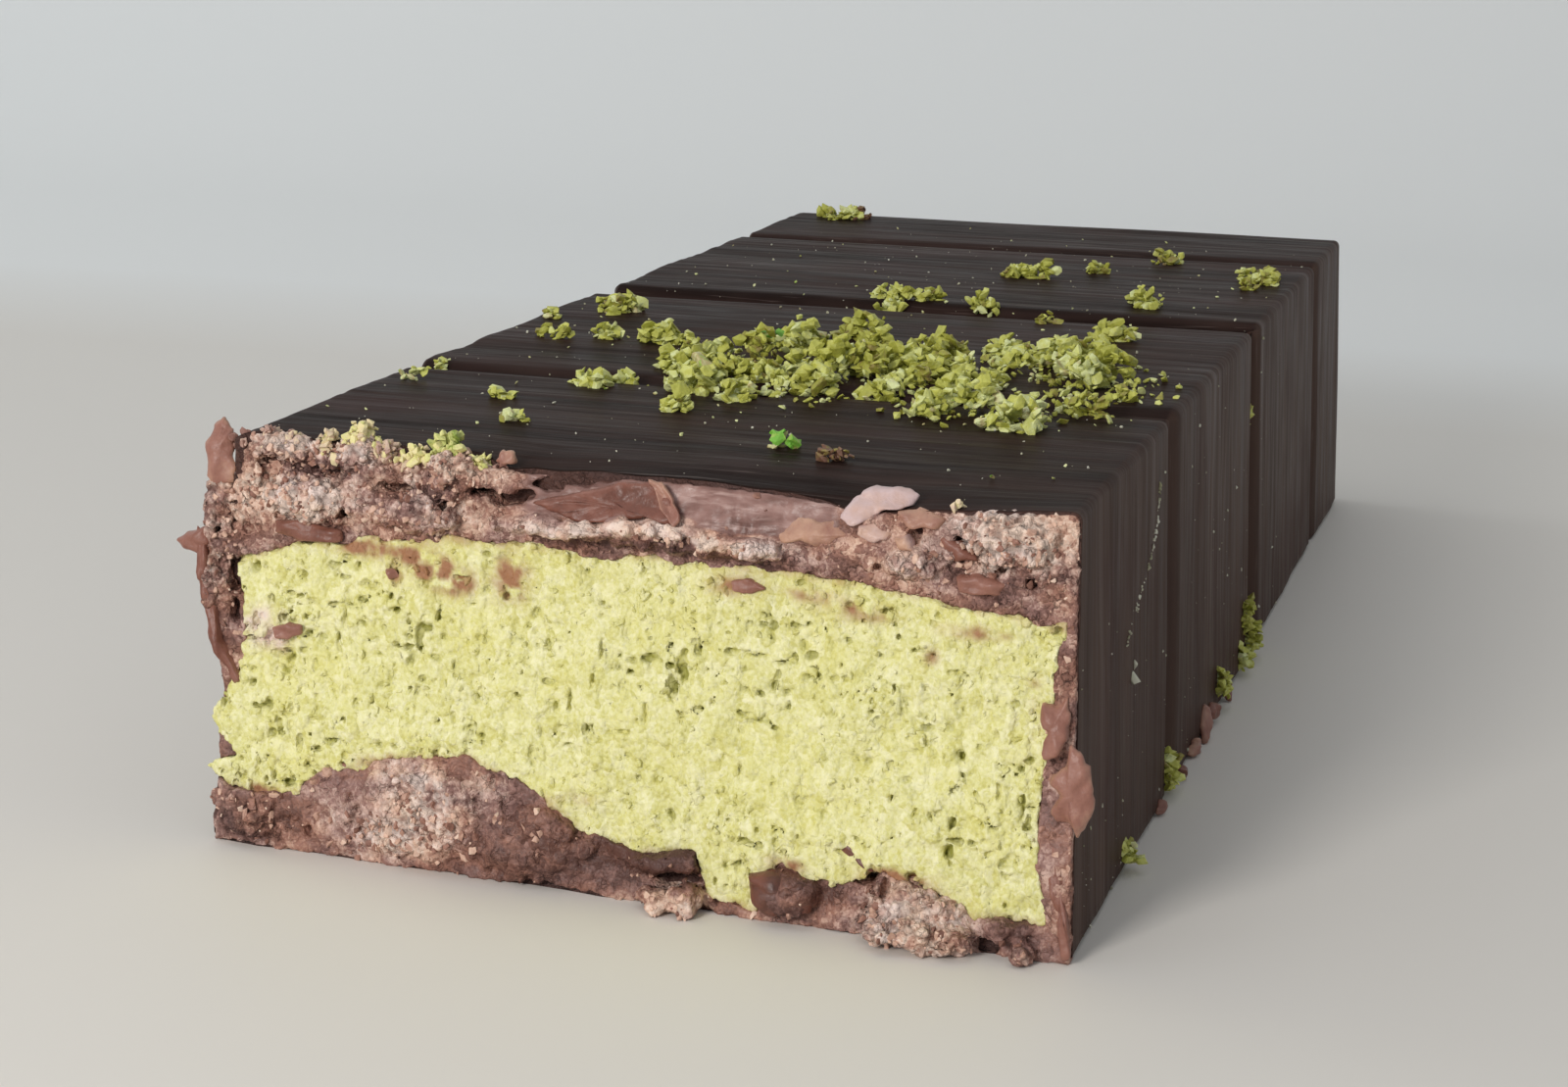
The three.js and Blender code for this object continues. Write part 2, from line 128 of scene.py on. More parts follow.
def bar_origin():
    """The cut's lower right corner line and the bar's middle line, found on the frame, in metres."""
    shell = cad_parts["chocolate_shell"].data
    points = np.array([v.co for v in shell.vertices])
    base = points[(points[:, 2] < 0.05 * MM) & (points[:, 1] > 0)]
    across = (base[:, 0].min() + base[:, 0].max()) / 2
    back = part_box("chocolate_shell")[1].y - LENGTH * MM
    return Vector((across, back, 0.0))


ORIGIN = bar_origin()

# ---- Small mathematics on arrays ----


def mix(low, high, share):
    """A value some share of the way from low to high."""
    return low + (high - low) * share


def smooth(share):
    """A share from 0 to 1, eased at both ends."""
    return share * share * (3 - 2 * share)


def fade(value, start, end):
    """Nought at the start and one at the end, with a soft rise between them."""
    return smooth(np.clip((value - start) / (end - start), 0, 1))


def window(value, start, end, soft):
    """One between start and end, and nought outside them, with soft sides."""
    return fade(value, start - soft, start + soft) * (1 - fade(value, end - soft, end + soft))


def along(outline, x):
    """The straight-line value at x of an outline of (x, value) points."""
    xs, values = np.array(outline, float).T
    return np.interp(x, xs, values)


# Factors of the part's own noise.
LATTICE_STEPS = (127.1, 311.7, 74.7)
LATTICE_SPREAD = 43758.5453


def lattice(i, j, seed):
    """A fixed number from -1 to 1 for each place on a lattice."""
    step_i, step_j, step_seed = LATTICE_STEPS
    wave = np.sin(i * step_i + j * step_j + seed * step_seed) * LATTICE_SPREAD
    return (wave - np.floor(wave)) * 2 - 1


def noise2(x, y, seed):
    """The part's own noise: smooth, from -1 to 1, between fixed numbers on a lattice."""
    i, j = np.floor(x), np.floor(y)
    u, v = smooth(x - i), smooth(y - j)
    low = mix(lattice(i, j, seed), lattice(i + 1, j, seed), u)
    high = mix(lattice(i, j + 1, seed), lattice(i + 1, j + 1, seed), u)
    return mix(low, high, v)


# How many numbers the noises in space have along each axis before they repeat.
TABLE = 64


def noise3(points, cell, seed):
    """Smooth noise in space, from -1 to 1. cell is one size, or one for each axis."""
    table = np.random.default_rng(seed).uniform(-1, 1, (TABLE,) * 3).astype(np.float32)
    place = (points / np.asarray(cell, np.float32)).astype(np.float32)
    low = np.floor(place).astype(np.int32)
    part = smooth(place - low)
    low %= TABLE
    high = (low + 1) % TABLE
    total = np.zeros(len(points), np.float32)
    for pick_x, pick_y, pick_z in np.ndindex(2, 2, 2):
        i = (high if pick_x else low)[:, 0]
        j = (high if pick_y else low)[:, 1]
        k = (high if pick_z else low)[:, 2]
        weight = (part[:, 0] if pick_x else 1 - part[:, 0]) * (part[:, 1] if pick_y else 1 - part[:, 1])
        total += weight * (part[:, 2] if pick_z else 1 - part[:, 2]) * table[i, j, k]
    return total


def layered(points, layers):
    """A sum of noises, each given as (height, cell, seed)."""
    return sum(height * noise3(points, cell, seed) for height, cell, seed in layers)


def grains3(points, cell, seed):
    """Scattered grains: distance to the nearest middle and to the next, in cells, and its number."""
    rng = np.random.default_rng(seed)
    jitter = rng.uniform(0, 1, (TABLE,) * 3 + (3,)).astype(np.float32)
    label = rng.uniform(0, 1, (TABLE,) * 3).astype(np.float32)
    place = (points / np.asarray(cell, np.float32)).astype(np.float32)
    low = np.floor(place).astype(np.int32)
    nearest = np.full(len(points), 9.0, np.float32)
    second = nearest.copy()
    number = np.zeros(len(points), np.float32)
    for step in np.ndindex(3, 3, 3):
        corner = low + np.array(step, np.int32) - 1
        index = tuple((corner % TABLE).T)
        distance = np.sqrt(((corner + jitter[index] - place) ** 2).sum(1))
        closer = distance < nearest
        second = np.where(closer, nearest, np.minimum(second, distance))
        nearest = np.where(closer, distance, nearest)
        number = np.where(closer, label[index], number)
    return nearest, second, number


RANDOM_FACTOR = 1664525
RANDOM_STEP = 1013904223
RANDOM_RANGE = 4294967296


def random_source(seed):
    """The part's own seeded numbers from 0 to 1, so that crumbs fall in the same places."""
    state = seed
    while True:
        state = (state * RANDOM_FACTOR + RANDOM_STEP) % RANDOM_RANGE
        yield state / RANDOM_RANGE


# ---- Meshes ----


def to_frame(points):
    """Bar millimetres to frame metres."""
    return np.asarray(points, float) * MM + np.array(ORIGIN)


def add_object(name, mesh):
    """A new object in the scene, for a mesh, a light or a camera."""
    piece = bpy.data.objects.new(name, mesh)
    bpy.context.scene.collection.objects.link(piece)
    return piece


def make_piece(name, points, faces, materials, attributes=None, face_slots=None, flat=False):
    """A mesh object from points in bar millimetres and faces. It sits at the frame's origin."""
    mesh = bpy.data.meshes.new(name)
    if isinstance(faces, np.ndarray):
        faces = faces.tolist()
    mesh.from_pydata(to_frame(points).tolist(), [], faces)
    for key, values in (attributes or {}).items():
        layer = mesh.attributes.new(key, "FLOAT", "POINT")
        layer.data.foreach_set("value", np.asarray(values, np.float32))
    for material in materials:
        mesh.materials.append(material)
    if face_slots is not None:
        mesh.polygons.foreach_set("material_index", np.asarray(face_slots, np.int32))
    mesh.polygons.foreach_set("use_smooth", np.full(len(mesh.polygons), not flat))
    mesh.validate()
    mesh.update()
    return add_object(name, mesh)


def crossings_along(field, axis):
    """Where the surface crosses a block's lines along an axis, and how far along each line."""
    near = [slice(None)] * 3
    far = [slice(None)] * 3
    near[axis] = slice(None, -1)
    far[axis] = slice(1, None)
    a, b = field[tuple(near)], field[tuple(far)]
    cross = (a < 0) != (b < 0)
    share = np.where(cross, a / np.where(cross, a - b, 1), 0).astype(np.float32)
    return cross, share


def quads_across(cross, inside, number, axis):
    """Outward quads, one for each line along an axis that the surface crosses."""
    limit = np.array(number.shape)
    u, v = (axis + 1) % 3, (axis + 2) % 3
    edges = np.argwhere(cross)
    keep = (edges[:, [u, v]] > 0).all(1) & (edges[:, [u, v]] < limit[[u, v]]).all(1)
    edges = edges[keep]
    corners = []
    for du, dv in ((-1, -1), (0, -1), (0, 0), (-1, 0)):
        cell = edges.copy()
        cell[:, u] += du
        cell[:, v] += dv
        corners.append(number[tuple(cell.T)])
    quads = np.stack(corners, 1)
    outward = inside[tuple(edges.T)]
    quads[~outward] = quads[~outward][:, ::-1]
    return quads


def surface_nets(field, start, step):
    """The zero surface of a block of distances, negative inside: its points and outward quads."""
    shape = np.array(field.shape) - 1
    total = np.zeros((*shape, 3), np.float32)
    count = np.zeros(shape, np.float32)
    crossings = []
    for axis in range(3):
        cross, share = crossings_along(field, axis)
        crossings.append(cross)
        u, v = [other for other in range(3) if other != axis]
        for du, dv in np.ndindex(2, 2):
            cut = [slice(None)] * 3
            cut[u] = slice(du, shape[u] + du)
            cut[v] = slice(dv, shape[v] + dv)
            here = cross[tuple(cut)]
            total[..., axis] += share[tuple(cut)] * here
            total[..., u] += du * here
            total[..., v] += dv * here
            count += here
    active = count > 0
    number = np.full(shape, -1, np.int64)
    number[active] = np.arange(active.sum())
    points = start + step * (np.argwhere(active) + total[active] / count[active][:, None])
    quads = [quads_across(cross, field < 0, number, axis) for axis, cross in enumerate(crossings)]
    return points, np.concatenate(quads)


def normals_of(points, quads):
    """Unit normals at the points of a mesh of quads."""
    a, b, c, d = (points[quads[:, k]] for k in range(4))
    flat = np.cross(c - a, d - b)
    normals = np.zeros_like(points)
    for k in range(4):
        for axis in range(3):
            normals[:, axis] += np.bincount(quads[:, k], flat[:, axis], len(points))
    return normals / np.maximum(np.linalg.norm(normals, axis=1, keepdims=True), 1e-12)


def large_parts(points, quads, share=0.02):
    """Only the faces of bodies with at least a share of the largest one's, so no scrap floats."""
    label = np.arange(len(points))
    while True:
        low = label[quads].min(1)
        fresh = label.copy()
        for k in range(4):
            np.minimum.at(fresh, quads[:, k], low)
        fresh = fresh[fresh]
        if (fresh == label).all():
            break
        label = fresh
    kinds, counts = np.unique(label[quads[:, 0]], return_counts=True)
    keep = kinds[counts >= counts.max() * share]
    quads = quads[np.isin(label[quads[:, 0]], keep)]
    used = np.unique(quads)
    fresh = np.zeros(len(points), np.int64)
    fresh[used] = np.arange(len(used))
    return points[used], fresh[quads]


def grid_of(low, high, step):
    """The points of a block between two corners, as an array of places."""
    axes = [np.arange(a, b + step / 2, step, dtype=np.float32) for a, b in zip(low, high)]
    return np.stack(np.meshgrid(*axes, indexing="ij"), -1)


def closed(field):
    """The same block of distances with nothing inside at its own borders."""
    for axis in range(3):
        side = np.moveaxis(field, axis, 0)
        side[[0, -1]] = np.maximum(side[[0, -1]], 0.1)
    return field


# ---- The bar's form ----


def cut_plane(x, z):
    """How far back the flat cut lies at a place on it."""
    return CUT_YAW_SET * (WIDTH / 2 - x) / WIDTH + CUT_LEAN_SET * z / HEIGHT


def to_bar(points):
    """Points measured in depth behind the slanting cut, as points of the bar."""
    moved = np.array(points, float)
    moved[:, 1] += cut_plane(moved[:, 0], moved[:, 2])
    return moved


def moulding(y):
    """How far grooves and soft ripples draw the skin in, along the bar."""
    total = RIPPLE_DEPTH * noise2(y / RIPPLE_LENGTH * 2, 0.5, RIPPLE_SEED)
    for middle, depth, width in GROOVES:
        share = np.clip(1 - np.abs(y - middle) / width, 0, 1)
        total = total + depth * smooth(share)
    return total


def side_wall(y, z):
    """How far out the right side lies, at places along and up."""
    return WIDTH / 2 + DRAFT * (1 - z / HEIGHT) - moulding(y)


def bulge(x, y, z):
    """How far the left wall is pushed out by the knife near the cut."""
    height = fade(z, 7.5, 12) * (1 - fade(z, 15, 19))
    return np.where(x > 0, 0, BULGE_DEPTH * height * (1 - fade(y, 2.5, 8.5)))


def sag(x, depth):
    """How far the top is pressed down, most of all right at the cut."""
    return along(TOP_SAG, x) * np.exp(-np.maximum(depth, 0) / SAG_LENGTH)


def outer_distance(x, depth, z, inset):
    """Distance to the moulded outside across the bar, negative inside."""
    y = depth + cut_plane(x, z)
    half = WIDTH / 2 + DRAFT * (1 - z / HEIGHT) - inset + bulge(x, y, z)
    qx = np.abs(x) - half + EDGE_RADIUS
    qz = z - (HEIGHT - inset - sag(x, depth)) + EDGE_RADIUS
    outside = np.sqrt(np.maximum(qx, 0) ** 2 + np.maximum(qz, 0) ** 2)
    return np.maximum(outside + np.minimum(np.maximum(qx, qz), 0) - EDGE_RADIUS, -z)


def filling_distance(x, depth, z):
    """Distance to the filling's outline across the bar, negative inside it."""
    even = fade(depth, 0.6, CUT_DEPTH)
    half = WIDTH / 2 - SIDE_WALL
    top = mix(along(FILLING_TOP, x), HEIGHT - TOP_WALL, even)
    base = mix(along(FILLING_BASE, x), BASE_WALL, even)
    left = mix(along(FILLING_LEFT, z), -half, even)
    right = mix(along(FILLING_RIGHT, z), half, even)
    return np.maximum(np.maximum(z - top, base - z), np.maximum(left - x, x - right))


# ---- Material helpers ----


def rgb(red, green, blue):
    """A colour given in screen values from 0 to 255, as the linear one that a shader takes."""
    values = np.array((red, green, blue)) / 255
    return tuple(np.where(values <= 0.04045, values / 12.92, ((values + 0.055) / 1.055) ** 2.4))


# Where a mix node has its share and its two colours, and the mixed one.
MIX_COLOUR_INPUTS = (0, 6, 7)
MIX_COLOUR_OUTPUT = 2


class Shading:
    """Adds nodes to a node tree with short calls. An input is a number, a colour or an output."""

    def __init__(self, tree):
        self.nodes = tree.nodes
        self.links = tree.links

    def feed(self, socket, value):
        """Links an output to a socket, or sets the socket's own value."""
        if isinstance(value, bpy.types.NodeSocket):
            self.links.new(value, socket)
        elif isinstance(value, (int, float, str)):
            socket.default_value = value
        else:
            socket.default_value = (*value, 1) if len(socket.default_value) == 4 else tuple(value)

    def maths(self, operation, first, second, third=0.0):
        node = self.nodes.new("ShaderNodeMath")
        node.operation = operation
        for socket, value in zip(node.inputs, (first, second, third)):
            self.feed(socket, value)
        return node.outputs[0]

    def blend(self, share, first, second):
        """The first colour where the share is 0, the second where it is 1."""
        node = self.nodes.new("ShaderNodeMix")
        node.data_type = "RGBA"
        for index, value in zip(MIX_COLOUR_INPUTS, (share, first, second)):
            self.feed(node.inputs[index], value)
        return node.outputs[MIX_COLOUR_OUTPUT]

    def ramp(self, value, stops):
        """A colour ramp through stops, each a place and a colour."""
        stops = tuple(stops)
        node = self.nodes.new("ShaderNodeValToRGB")
        band = node.color_ramp
        while len(band.elements) < len(stops):
            band.elements.new(0.5)
        for element, (place, colour) in zip(band.elements, stops):
            element.position = place
            element.color = (*colour, 1)
        self.links.new(value, node.inputs["Fac"])
        return node.outputs["Color"]

    def level(self, value, low, high):
        """A number's share of the way from low to high, kept between 0 and 1."""
        node = self.nodes.new("ShaderNodeMapRange")
        self.feed(node.inputs["Value"], value)
        self.feed(node.inputs["From Min"], low)
        self.feed(node.inputs["From Max"], high)
        return node.outputs["Result"]

    def place(self, stretch=(1, 1, 1)):
        """The piece's own coordinates in millimetres, stretched."""
        coordinates = self.nodes.new("ShaderNodeTexCoord")
        mapping = self.nodes.new("ShaderNodeMapping")
        mapping.inputs["Scale"].default_value = [value / MM for value in stretch]
        self.links.new(coordinates.outputs["Object"], mapping.inputs["Vector"])
        return mapping.outputs["Vector"]

    def noise(self, vector, scale, detail=3.0, roughness=0.55, distortion=0.0):
        """Soft noise from 0 to 1. Its features are about one millimetre over scale wide."""
        node = self.nodes.new("ShaderNodeTexNoise")
        self.links.new(vector, node.inputs["Vector"])
        self.feed(node.inputs["Scale"], scale)
        node.inputs["Detail"].default_value = detail
        node.inputs["Roughness"].default_value = roughness
        node.inputs["Distortion"].default_value = distortion
        return node.outputs["Fac"]

    def cells(self, vector, scale, feature="F1"):
        """Scattered cells, each with a distance and a random colour."""
        node = self.nodes.new("ShaderNodeTexVoronoi")
        node.feature = feature
        self.links.new(vector, node.inputs["Vector"])
        self.feed(node.inputs["Scale"], scale)
        return node

    def attribute(self, name):
        """The number that the mesh carries under a name."""
        node = self.nodes.new("ShaderNodeAttribute")
        node.attribute_name = name
        return node.outputs["Fac"]

    def bump(self, height, distance, strength, normal=None):
        """A normal bent by a height, where one unit is a distance in millimetres."""
        node = self.nodes.new("ShaderNodeBump")
        node.inputs["Distance"].default_value = distance * MM
        node.inputs["Strength"].default_value = strength
        self.links.new(height, node.inputs["Height"])
        if normal is not None:
            self.links.new(normal, node.inputs["Normal"])
        return node.outputs["Normal"]

    def group(self, tree, **values):
        """A node group with its inputs fed."""
        node = self.nodes.new("ShaderNodeGroup")
        node.node_tree = tree
        for name, value in values.items():
            self.feed(node.inputs[name.capitalize()], value)
        return node

    def varied(self, noise, amount, middle):
        """A number with a noise from 0 to 1 laid over it, as wide as the amount."""
        return self.maths("MULTIPLY_ADD", self.maths("SUBTRACT", noise, 0.5), amount, middle)

    def share_of(self, cells, channel):
        """One channel of the random colour of each cell."""
        split = self.nodes.new("ShaderNodeSeparateColor")
        self.links.new(cells.outputs["Color"], split.inputs["Color"])
        return split.outputs[channel]

    def surface(self, shader, colour, roughness, normal=None, specular=0.5):
        """Feeds the sockets that the finishes have in common."""
        self.feed(shader.inputs["Base Color"], colour)
        self.feed(shader.inputs["Roughness"], roughness)
        self.feed(shader.inputs["Specular IOR Level"], specular)
        if normal is not None:
            self.feed(shader.inputs["Normal"], normal)

    def glow(self, shader, weight, radius, millimetres):
        """Lets a little light through the surface."""
        self.feed(shader.inputs["Subsurface Weight"], weight)
        self.feed(shader.inputs["Subsurface Radius"], radius)
        self.feed(shader.inputs["Subsurface Scale"], millimetres * MM)


def new_material(name):
    """A material, what adds nodes to it, and its shader."""
    material = bpy.data.materials.new(name)
    material.use_nodes = True
    return material, Shading(material.node_tree), material.node_tree.nodes["Principled BSDF"]


def node_group(name, kind, inputs, outputs):
    """An empty node group with named sockets, each given as (name, kind, default)."""
    tree = bpy.data.node_groups.new(name, kind)
    for title, socket_kind, default in inputs:
        socket = tree.interface.new_socket(title, in_out="INPUT", socket_type=socket_kind)
        if default is not None:
            socket.default_value = default
    for title, socket_kind in outputs:
        tree.interface.new_socket(title, in_out="OUTPUT", socket_type=socket_kind)
    start, end = tree.nodes.new("NodeGroupInput"), tree.nodes.new("NodeGroupOutput")
    return tree, start.outputs, end.inputs


# How far the grains of the crumb texture are bent, and how much finer the small ones are.
CRUMB_WOBBLE = 0.55
CRUMB_FINENESS = 2.7


def crumb_group():
    """Crumbly texture: grains of two sizes, the cracks between some of them, and their tones."""
    tree, given, result = node_group(
        "crumb_texture", "ShaderNodeTree",
        (("Vector", "NodeSocketVector", None), ("Grains", "NodeSocketFloat", 1.5),
         ("Cracks", "NodeSocketFloat", 0.5)),
        (("Height", "NodeSocketFloat"), ("Crack", "NodeSocketFloat"), ("Tone", "NodeSocketFloat")))
    shade = Shading(tree)
    vector, grains = given["Vector"], given["Grains"]
    wobble = shade.nodes.new("ShaderNodeTexNoise")
    shade.links.new(vector, wobble.inputs["Vector"])
    shade.feed(wobble.inputs["Scale"], grains)
    shift = shade.nodes.new("ShaderNodeVectorMath")
    shift.operation = "MULTIPLY_ADD"
    shade.links.new(wobble.outputs["Color"], shift.inputs[0])
    shift.inputs[1].default_value = (CRUMB_WOBBLE,) * 3
    shade.links.new(vector, shift.inputs[2])
    bent = shift.outputs[0]
    large = shade.cells(bent, grains)
    fine = shade.cells(bent, shade.maths("MULTIPLY", grains, CRUMB_FINENESS))
    edge = shade.cells(bent, grains, "DISTANCE_TO_EDGE")
    where = shade.noise(vector, shade.maths("MULTIPLY", grains, 0.45), detail=2)
    open_here = shade.level(where, shade.maths("SUBTRACT", 0.85, given["Cracks"]), 0.75)
    near_edge = shade.level(edge.outputs["Distance"], 0.09, 0.02)
    crack = shade.maths("MULTIPLY", open_here, near_edge)
    coarse = shade.maths("MULTIPLY", large.outputs["Distance"], -0.6)
    small = shade.maths("MULTIPLY_ADD", fine.outputs["Distance"], -0.3, coarse)
    height = shade.maths("MULTIPLY_ADD", crack, -0.9, small)
    tone = shade.maths("MULTIPLY_ADD", shade.share_of(fine, "Red"), 0.45,
                       shade.maths("MULTIPLY", shade.share_of(large, "Green"), 0.55))
    shade.links.new(height, result["Height"])
    shade.links.new(crack, result["Crack"])
    shade.links.new(tone, result["Tone"])
    return tree


# ---- Finishes ----


# Tones of the long sides: a painted sheen, with some real scuffing.
SKIN_SHEEN_AND_WEAR_DARK = rgb(69, 53, 47)
SKIN_SHEEN_AND_WEAR_PALE = rgb(88, 70, 62)
SKIN_REDDISH = rgb(68, 42, 41)
SKIN_SCRATCH = rgb(118, 102, 96)
SKIN_SPECULAR = 0.02


def skin_material(look):
    """Dark moulded chocolate with fine streaks across the bar, scuffs, a dusty bloom and a painted sheen on
    the long sides.

    The attribute side is 1 on the long sides, whose lighter streaked tone is a painted sheen with some
    real scuffing, and long is 0 on the plain far end.
    """
    material, shade, shader = new_material("moulded_dark_chocolate")
    across = shade.place((0.06, 1, 0.06))
    streaks = shade.noise(across, 1.7, detail=5, roughness=0.6, distortion=0.35)
    lines = shade.noise(shade.place((0.1, 2.4, 0.1)), 1.6, detail=3, roughness=0.5, distortion=0.8)
    scratches = shade.maths("MULTIPLY", shade.level(lines, 0.62, 0.74), shade.attribute("long"))
    broad = shade.noise(across, 0.3, detail=3, roughness=0.5)
    clouds = shade.noise(shade.place(), 0.09)
    soft = shade.noise(across, 0.9, detail=2, roughness=0.4)
    streak = shade.maths("MULTIPLY_ADD", broad, 0.5, shade.maths("MULTIPLY", soft, 0.5))
    tone = shade.ramp(streak, ((0.4, look.skin_dark), (0.6, look.skin_light)))
    side_sheen_and_wear = shade.ramp(streak, ((0.36, SKIN_SHEEN_AND_WEAR_DARK), (0.5, look.skin_sheen_and_wear), (0.66, SKIN_SHEEN_AND_WEAR_PALE)))
    # The long sides get the lighter streaked tone: a painted sheen, partly real wear.
    tone = shade.blend(shade.attribute("side"), tone, side_sheen_and_wear)
    reddish = shade.level(shade.noise(shade.place((0.5, 1, 1)), 0.13, detail=2), 0.55, 0.7)
    tone = shade.blend(shade.maths("MULTIPLY", reddish, 0.3), tone, SKIN_REDDISH)
    bloom = shade.maths("MULTIPLY", shade.level(clouds, 0.52, 0.75), 0.35)
    colour = shade.blend(bloom, tone, look.skin_bloom)
    colour = shade.blend(shade.maths("MULTIPLY", scratches, 0.3), colour, SKIN_SCRATCH)
    rough = shade.maths("MULTIPLY_ADD", streaks, 0.6, 0.12)
    rough = shade.maths("MULTIPLY_ADD", bloom, 0.3, rough)
    normal = shade.bump(streaks, 0.06, 0.7)
    finest = shade.noise(shade.place((0.2, 1, 0.2)), 6.0, detail=2)
    normal = shade.bump(finest, 0.01, 0.6, normal)
    shade.surface(shader, colour, rough, normal, SKIN_SPECULAR)
    return material


BROKEN_STOPS = (0.08, 0.4, 0.68, 0.92)
BROKEN_PALEST = rgb(234, 208, 190)
BROKEN_ROSY = (rgb(86, 58, 52), rgb(142, 106, 98), rgb(204, 172, 160), rgb(232, 210, 200))
# A painted shade for cracks and for places far behind the cut.
BROKEN_PAINTED_SHADE = rgb(52, 34, 30)
SCOOP_TONES = ((0.32, rgb(104, 72, 64)), (0.52, rgb(140, 106, 98)), (0.72, rgb(176, 144, 136)))
SCOOP_LINES = rgb(196, 166, 158)


def broken_material(look, crumbs):
    """Chocolate where it is torn: pale crumbs over brown, with smooth scooped places.

    The attribute pale is how light a place is, slick is 1 where it is scooped smooth, and deep is
    1 in cracks and far behind the cut, where it darkens the colour as a painted shade.
    """
    material, shade, shader = new_material("broken_chocolate")
    place = shade.place()
    texture = shade.group(crumbs, vector=place, grains=2.4, cracks=0.32)
    fine = shade.noise(place, 6.0)
    pale, slick, deep = (shade.attribute(name) for name in ("pale", "slick", "deep"))
    uneven = shade.maths("MULTIPLY", shade.maths("SUBTRACT", texture.outputs["Tone"], 0.5),
                         shade.maths("MULTIPLY_ADD", slick, -0.35, 0.5))
    level = shade.varied(fine, 0.35, shade.maths("ADD", pale, uneven))
    usual = (look.broken_dark, look.broken_mid, look.broken_pale, BROKEN_PALEST)
    tone = shade.ramp(level, zip(BROKEN_STOPS, usual))
    rosy = shade.ramp(level, zip(BROKEN_STOPS, BROKEN_ROSY))
    patches = shade.level(shade.noise(shade.place((1, 1, 1.6)), 0.35, detail=2), 0.42, 0.6)
    tone = shade.blend(patches, tone, rosy)
    rub = shade.noise(shade.place((0.5, 1, 1.6)), 0.8)
    smooth_tone = shade.ramp(rub, SCOOP_TONES)
    lines = shade.level(shade.noise(shade.place((0.16, 1, 1.5)), 1.6, roughness=0.6), 0.56, 0.68)
    smooth_tone = shade.blend(shade.maths("MULTIPLY", lines, 0.5), smooth_tone, SCOOP_LINES)
    in_scoop = shade.level(slick, 0.6, 0.9)
    colour = shade.blend(in_scoop, tone, smooth_tone)
    cracks = shade.maths("MULTIPLY", texture.outputs["Crack"], shade.maths("SUBTRACT", 1.0, slick))
    # Painted shade: cracks and places far behind the cut are darkened.
    painted_shade = shade.maths("MAXIMUM", deep, shade.maths("MULTIPLY", cracks, 0.6))
    colour = shade.blend(shade.maths("MULTIPLY", painted_shade, 0.85), colour, BROKEN_PAINTED_SHADE)
    rough_height = shade.maths("MULTIPLY", texture.outputs["Height"], shade.maths("SUBTRACT", 1.0, slick))
    normal = shade.bump(rough_height, 0.25, 0.85)
    normal = shade.bump(fine, 0.04, 0.5, normal)
    shade.surface(shader, colour, shade.maths("MULTIPLY_ADD", slick, -0.3, 0.66), normal, 0.35)
    return material


FILLING_WARM = rgb(220, 212, 118)
# The pits' olive: partly the paste's own colour, partly a painted shade.
FILLING_PIT_OLIVE_AND_SHADE = rgb(138, 136, 46)
FILLING_SMEAR = rgb(158, 112, 80)
FILLING_ROSE = rgb(226, 206, 196)


def filling_material(look, crumbs):
    """Pale yellow-green crumbly paste, olive and darker in its pits and cracks, and smeared brown near the
    chocolate.

    The attributes for pits, smear and rose are 1 in pits and far behind the cut, in brown smears and in the
    rosy smear. The olive of the pits is partly the paste's own colour and partly a painted shade.
    """
    material, shade, shader = new_material("pistachio_paste")
    place = shade.place()
    texture = shade.group(crumbs, vector=shade.place((1, 1, 0.8)), grains=1.7, cracks=0.16)
    fine = shade.noise(place, 5.0)
    pit, smear = shade.attribute("pit"), shade.attribute("smear")
    level = shade.maths("MULTIPLY_ADD", texture.outputs["Tone"], 0.4, shade.maths("MULTIPLY", fine, 0.6))
    tone = shade.ramp(level, ((0.28, look.filling_dark), (0.46, look.filling_mid), (0.7, look.filling_pale)))
    patches = shade.level(shade.noise(place, 0.32, detail=2), 0.45, 0.8)
    colour = shade.blend(shade.maths("MULTIPLY", patches, 0.35), tone, FILLING_WARM)
    # Pits, cracks and places far behind the cut turn olive: partly real colour, partly a painted shade.
    pit_and_crack_shade = shade.maths("MAXIMUM", pit, shade.maths("MULTIPLY", texture.outputs["Crack"], 0.4))
    colour = shade.blend(pit_and_crack_shade, colour, FILLING_PIT_OLIVE_AND_SHADE)
    colour = shade.blend(smear, colour, FILLING_SMEAR)
    colour = shade.blend(shade.attribute("rose"), colour, FILLING_ROSE)
    normal = shade.bump(texture.outputs["Height"], 0.2, 0.85)
    normal = shade.bump(fine, 0.06, 0.6, normal)
    shade.surface(shader, colour, 0.6, normal, 0.35)
    shade.glow(shader, 0.08, (1.0, 0.9, 0.4), 0.6)
    return material


NUT_BROWNS = ((0.0, rgb(118, 84, 66)), (0.1, rgb(140, 124, 66)))
NUT_MIDDLE = (0.5, rgb(198, 198, 96))
# A tan chip and bright green ones.
NUT_ODD_ONES = ((0.87, rgb(190, 172, 120)), (0.94, rgb(156, 190, 84)), (1.0, rgb(122, 182, 66)))


def nut_material(look):
    """Chopped pistachio: each piece its own green, paler on some faces, with a little shine."""
    material, shade, shader = new_material("chopped_pistachio")
    place = shade.place()
    speckle = shade.noise(place, 2.6)
    level = shade.varied(speckle, 0.5, shade.attribute("tint"))
    tone = shade.ramp(level, (*NUT_BROWNS, (0.24, look.nut_green), NUT_MIDDLE, (0.76, look.nut_pale),
                              *NUT_ODD_ONES))
    shade.surface(shader, tone, 0.5, shade.bump(shade.noise(place, 5.5), 0.1, 0.7), 0.45)
    shade.glow(shader, 0.06, (0.6, 0.8, 0.2), 0.5)
    return material


FLAKE_TONES = ((0.0, rgb(64, 42, 36)), (0.25, rgb(118, 72, 58)), (0.5, rgb(150, 104, 90)),
               (0.75, rgb(190, 150, 126)), (1.0, rgb(204, 178, 176)))


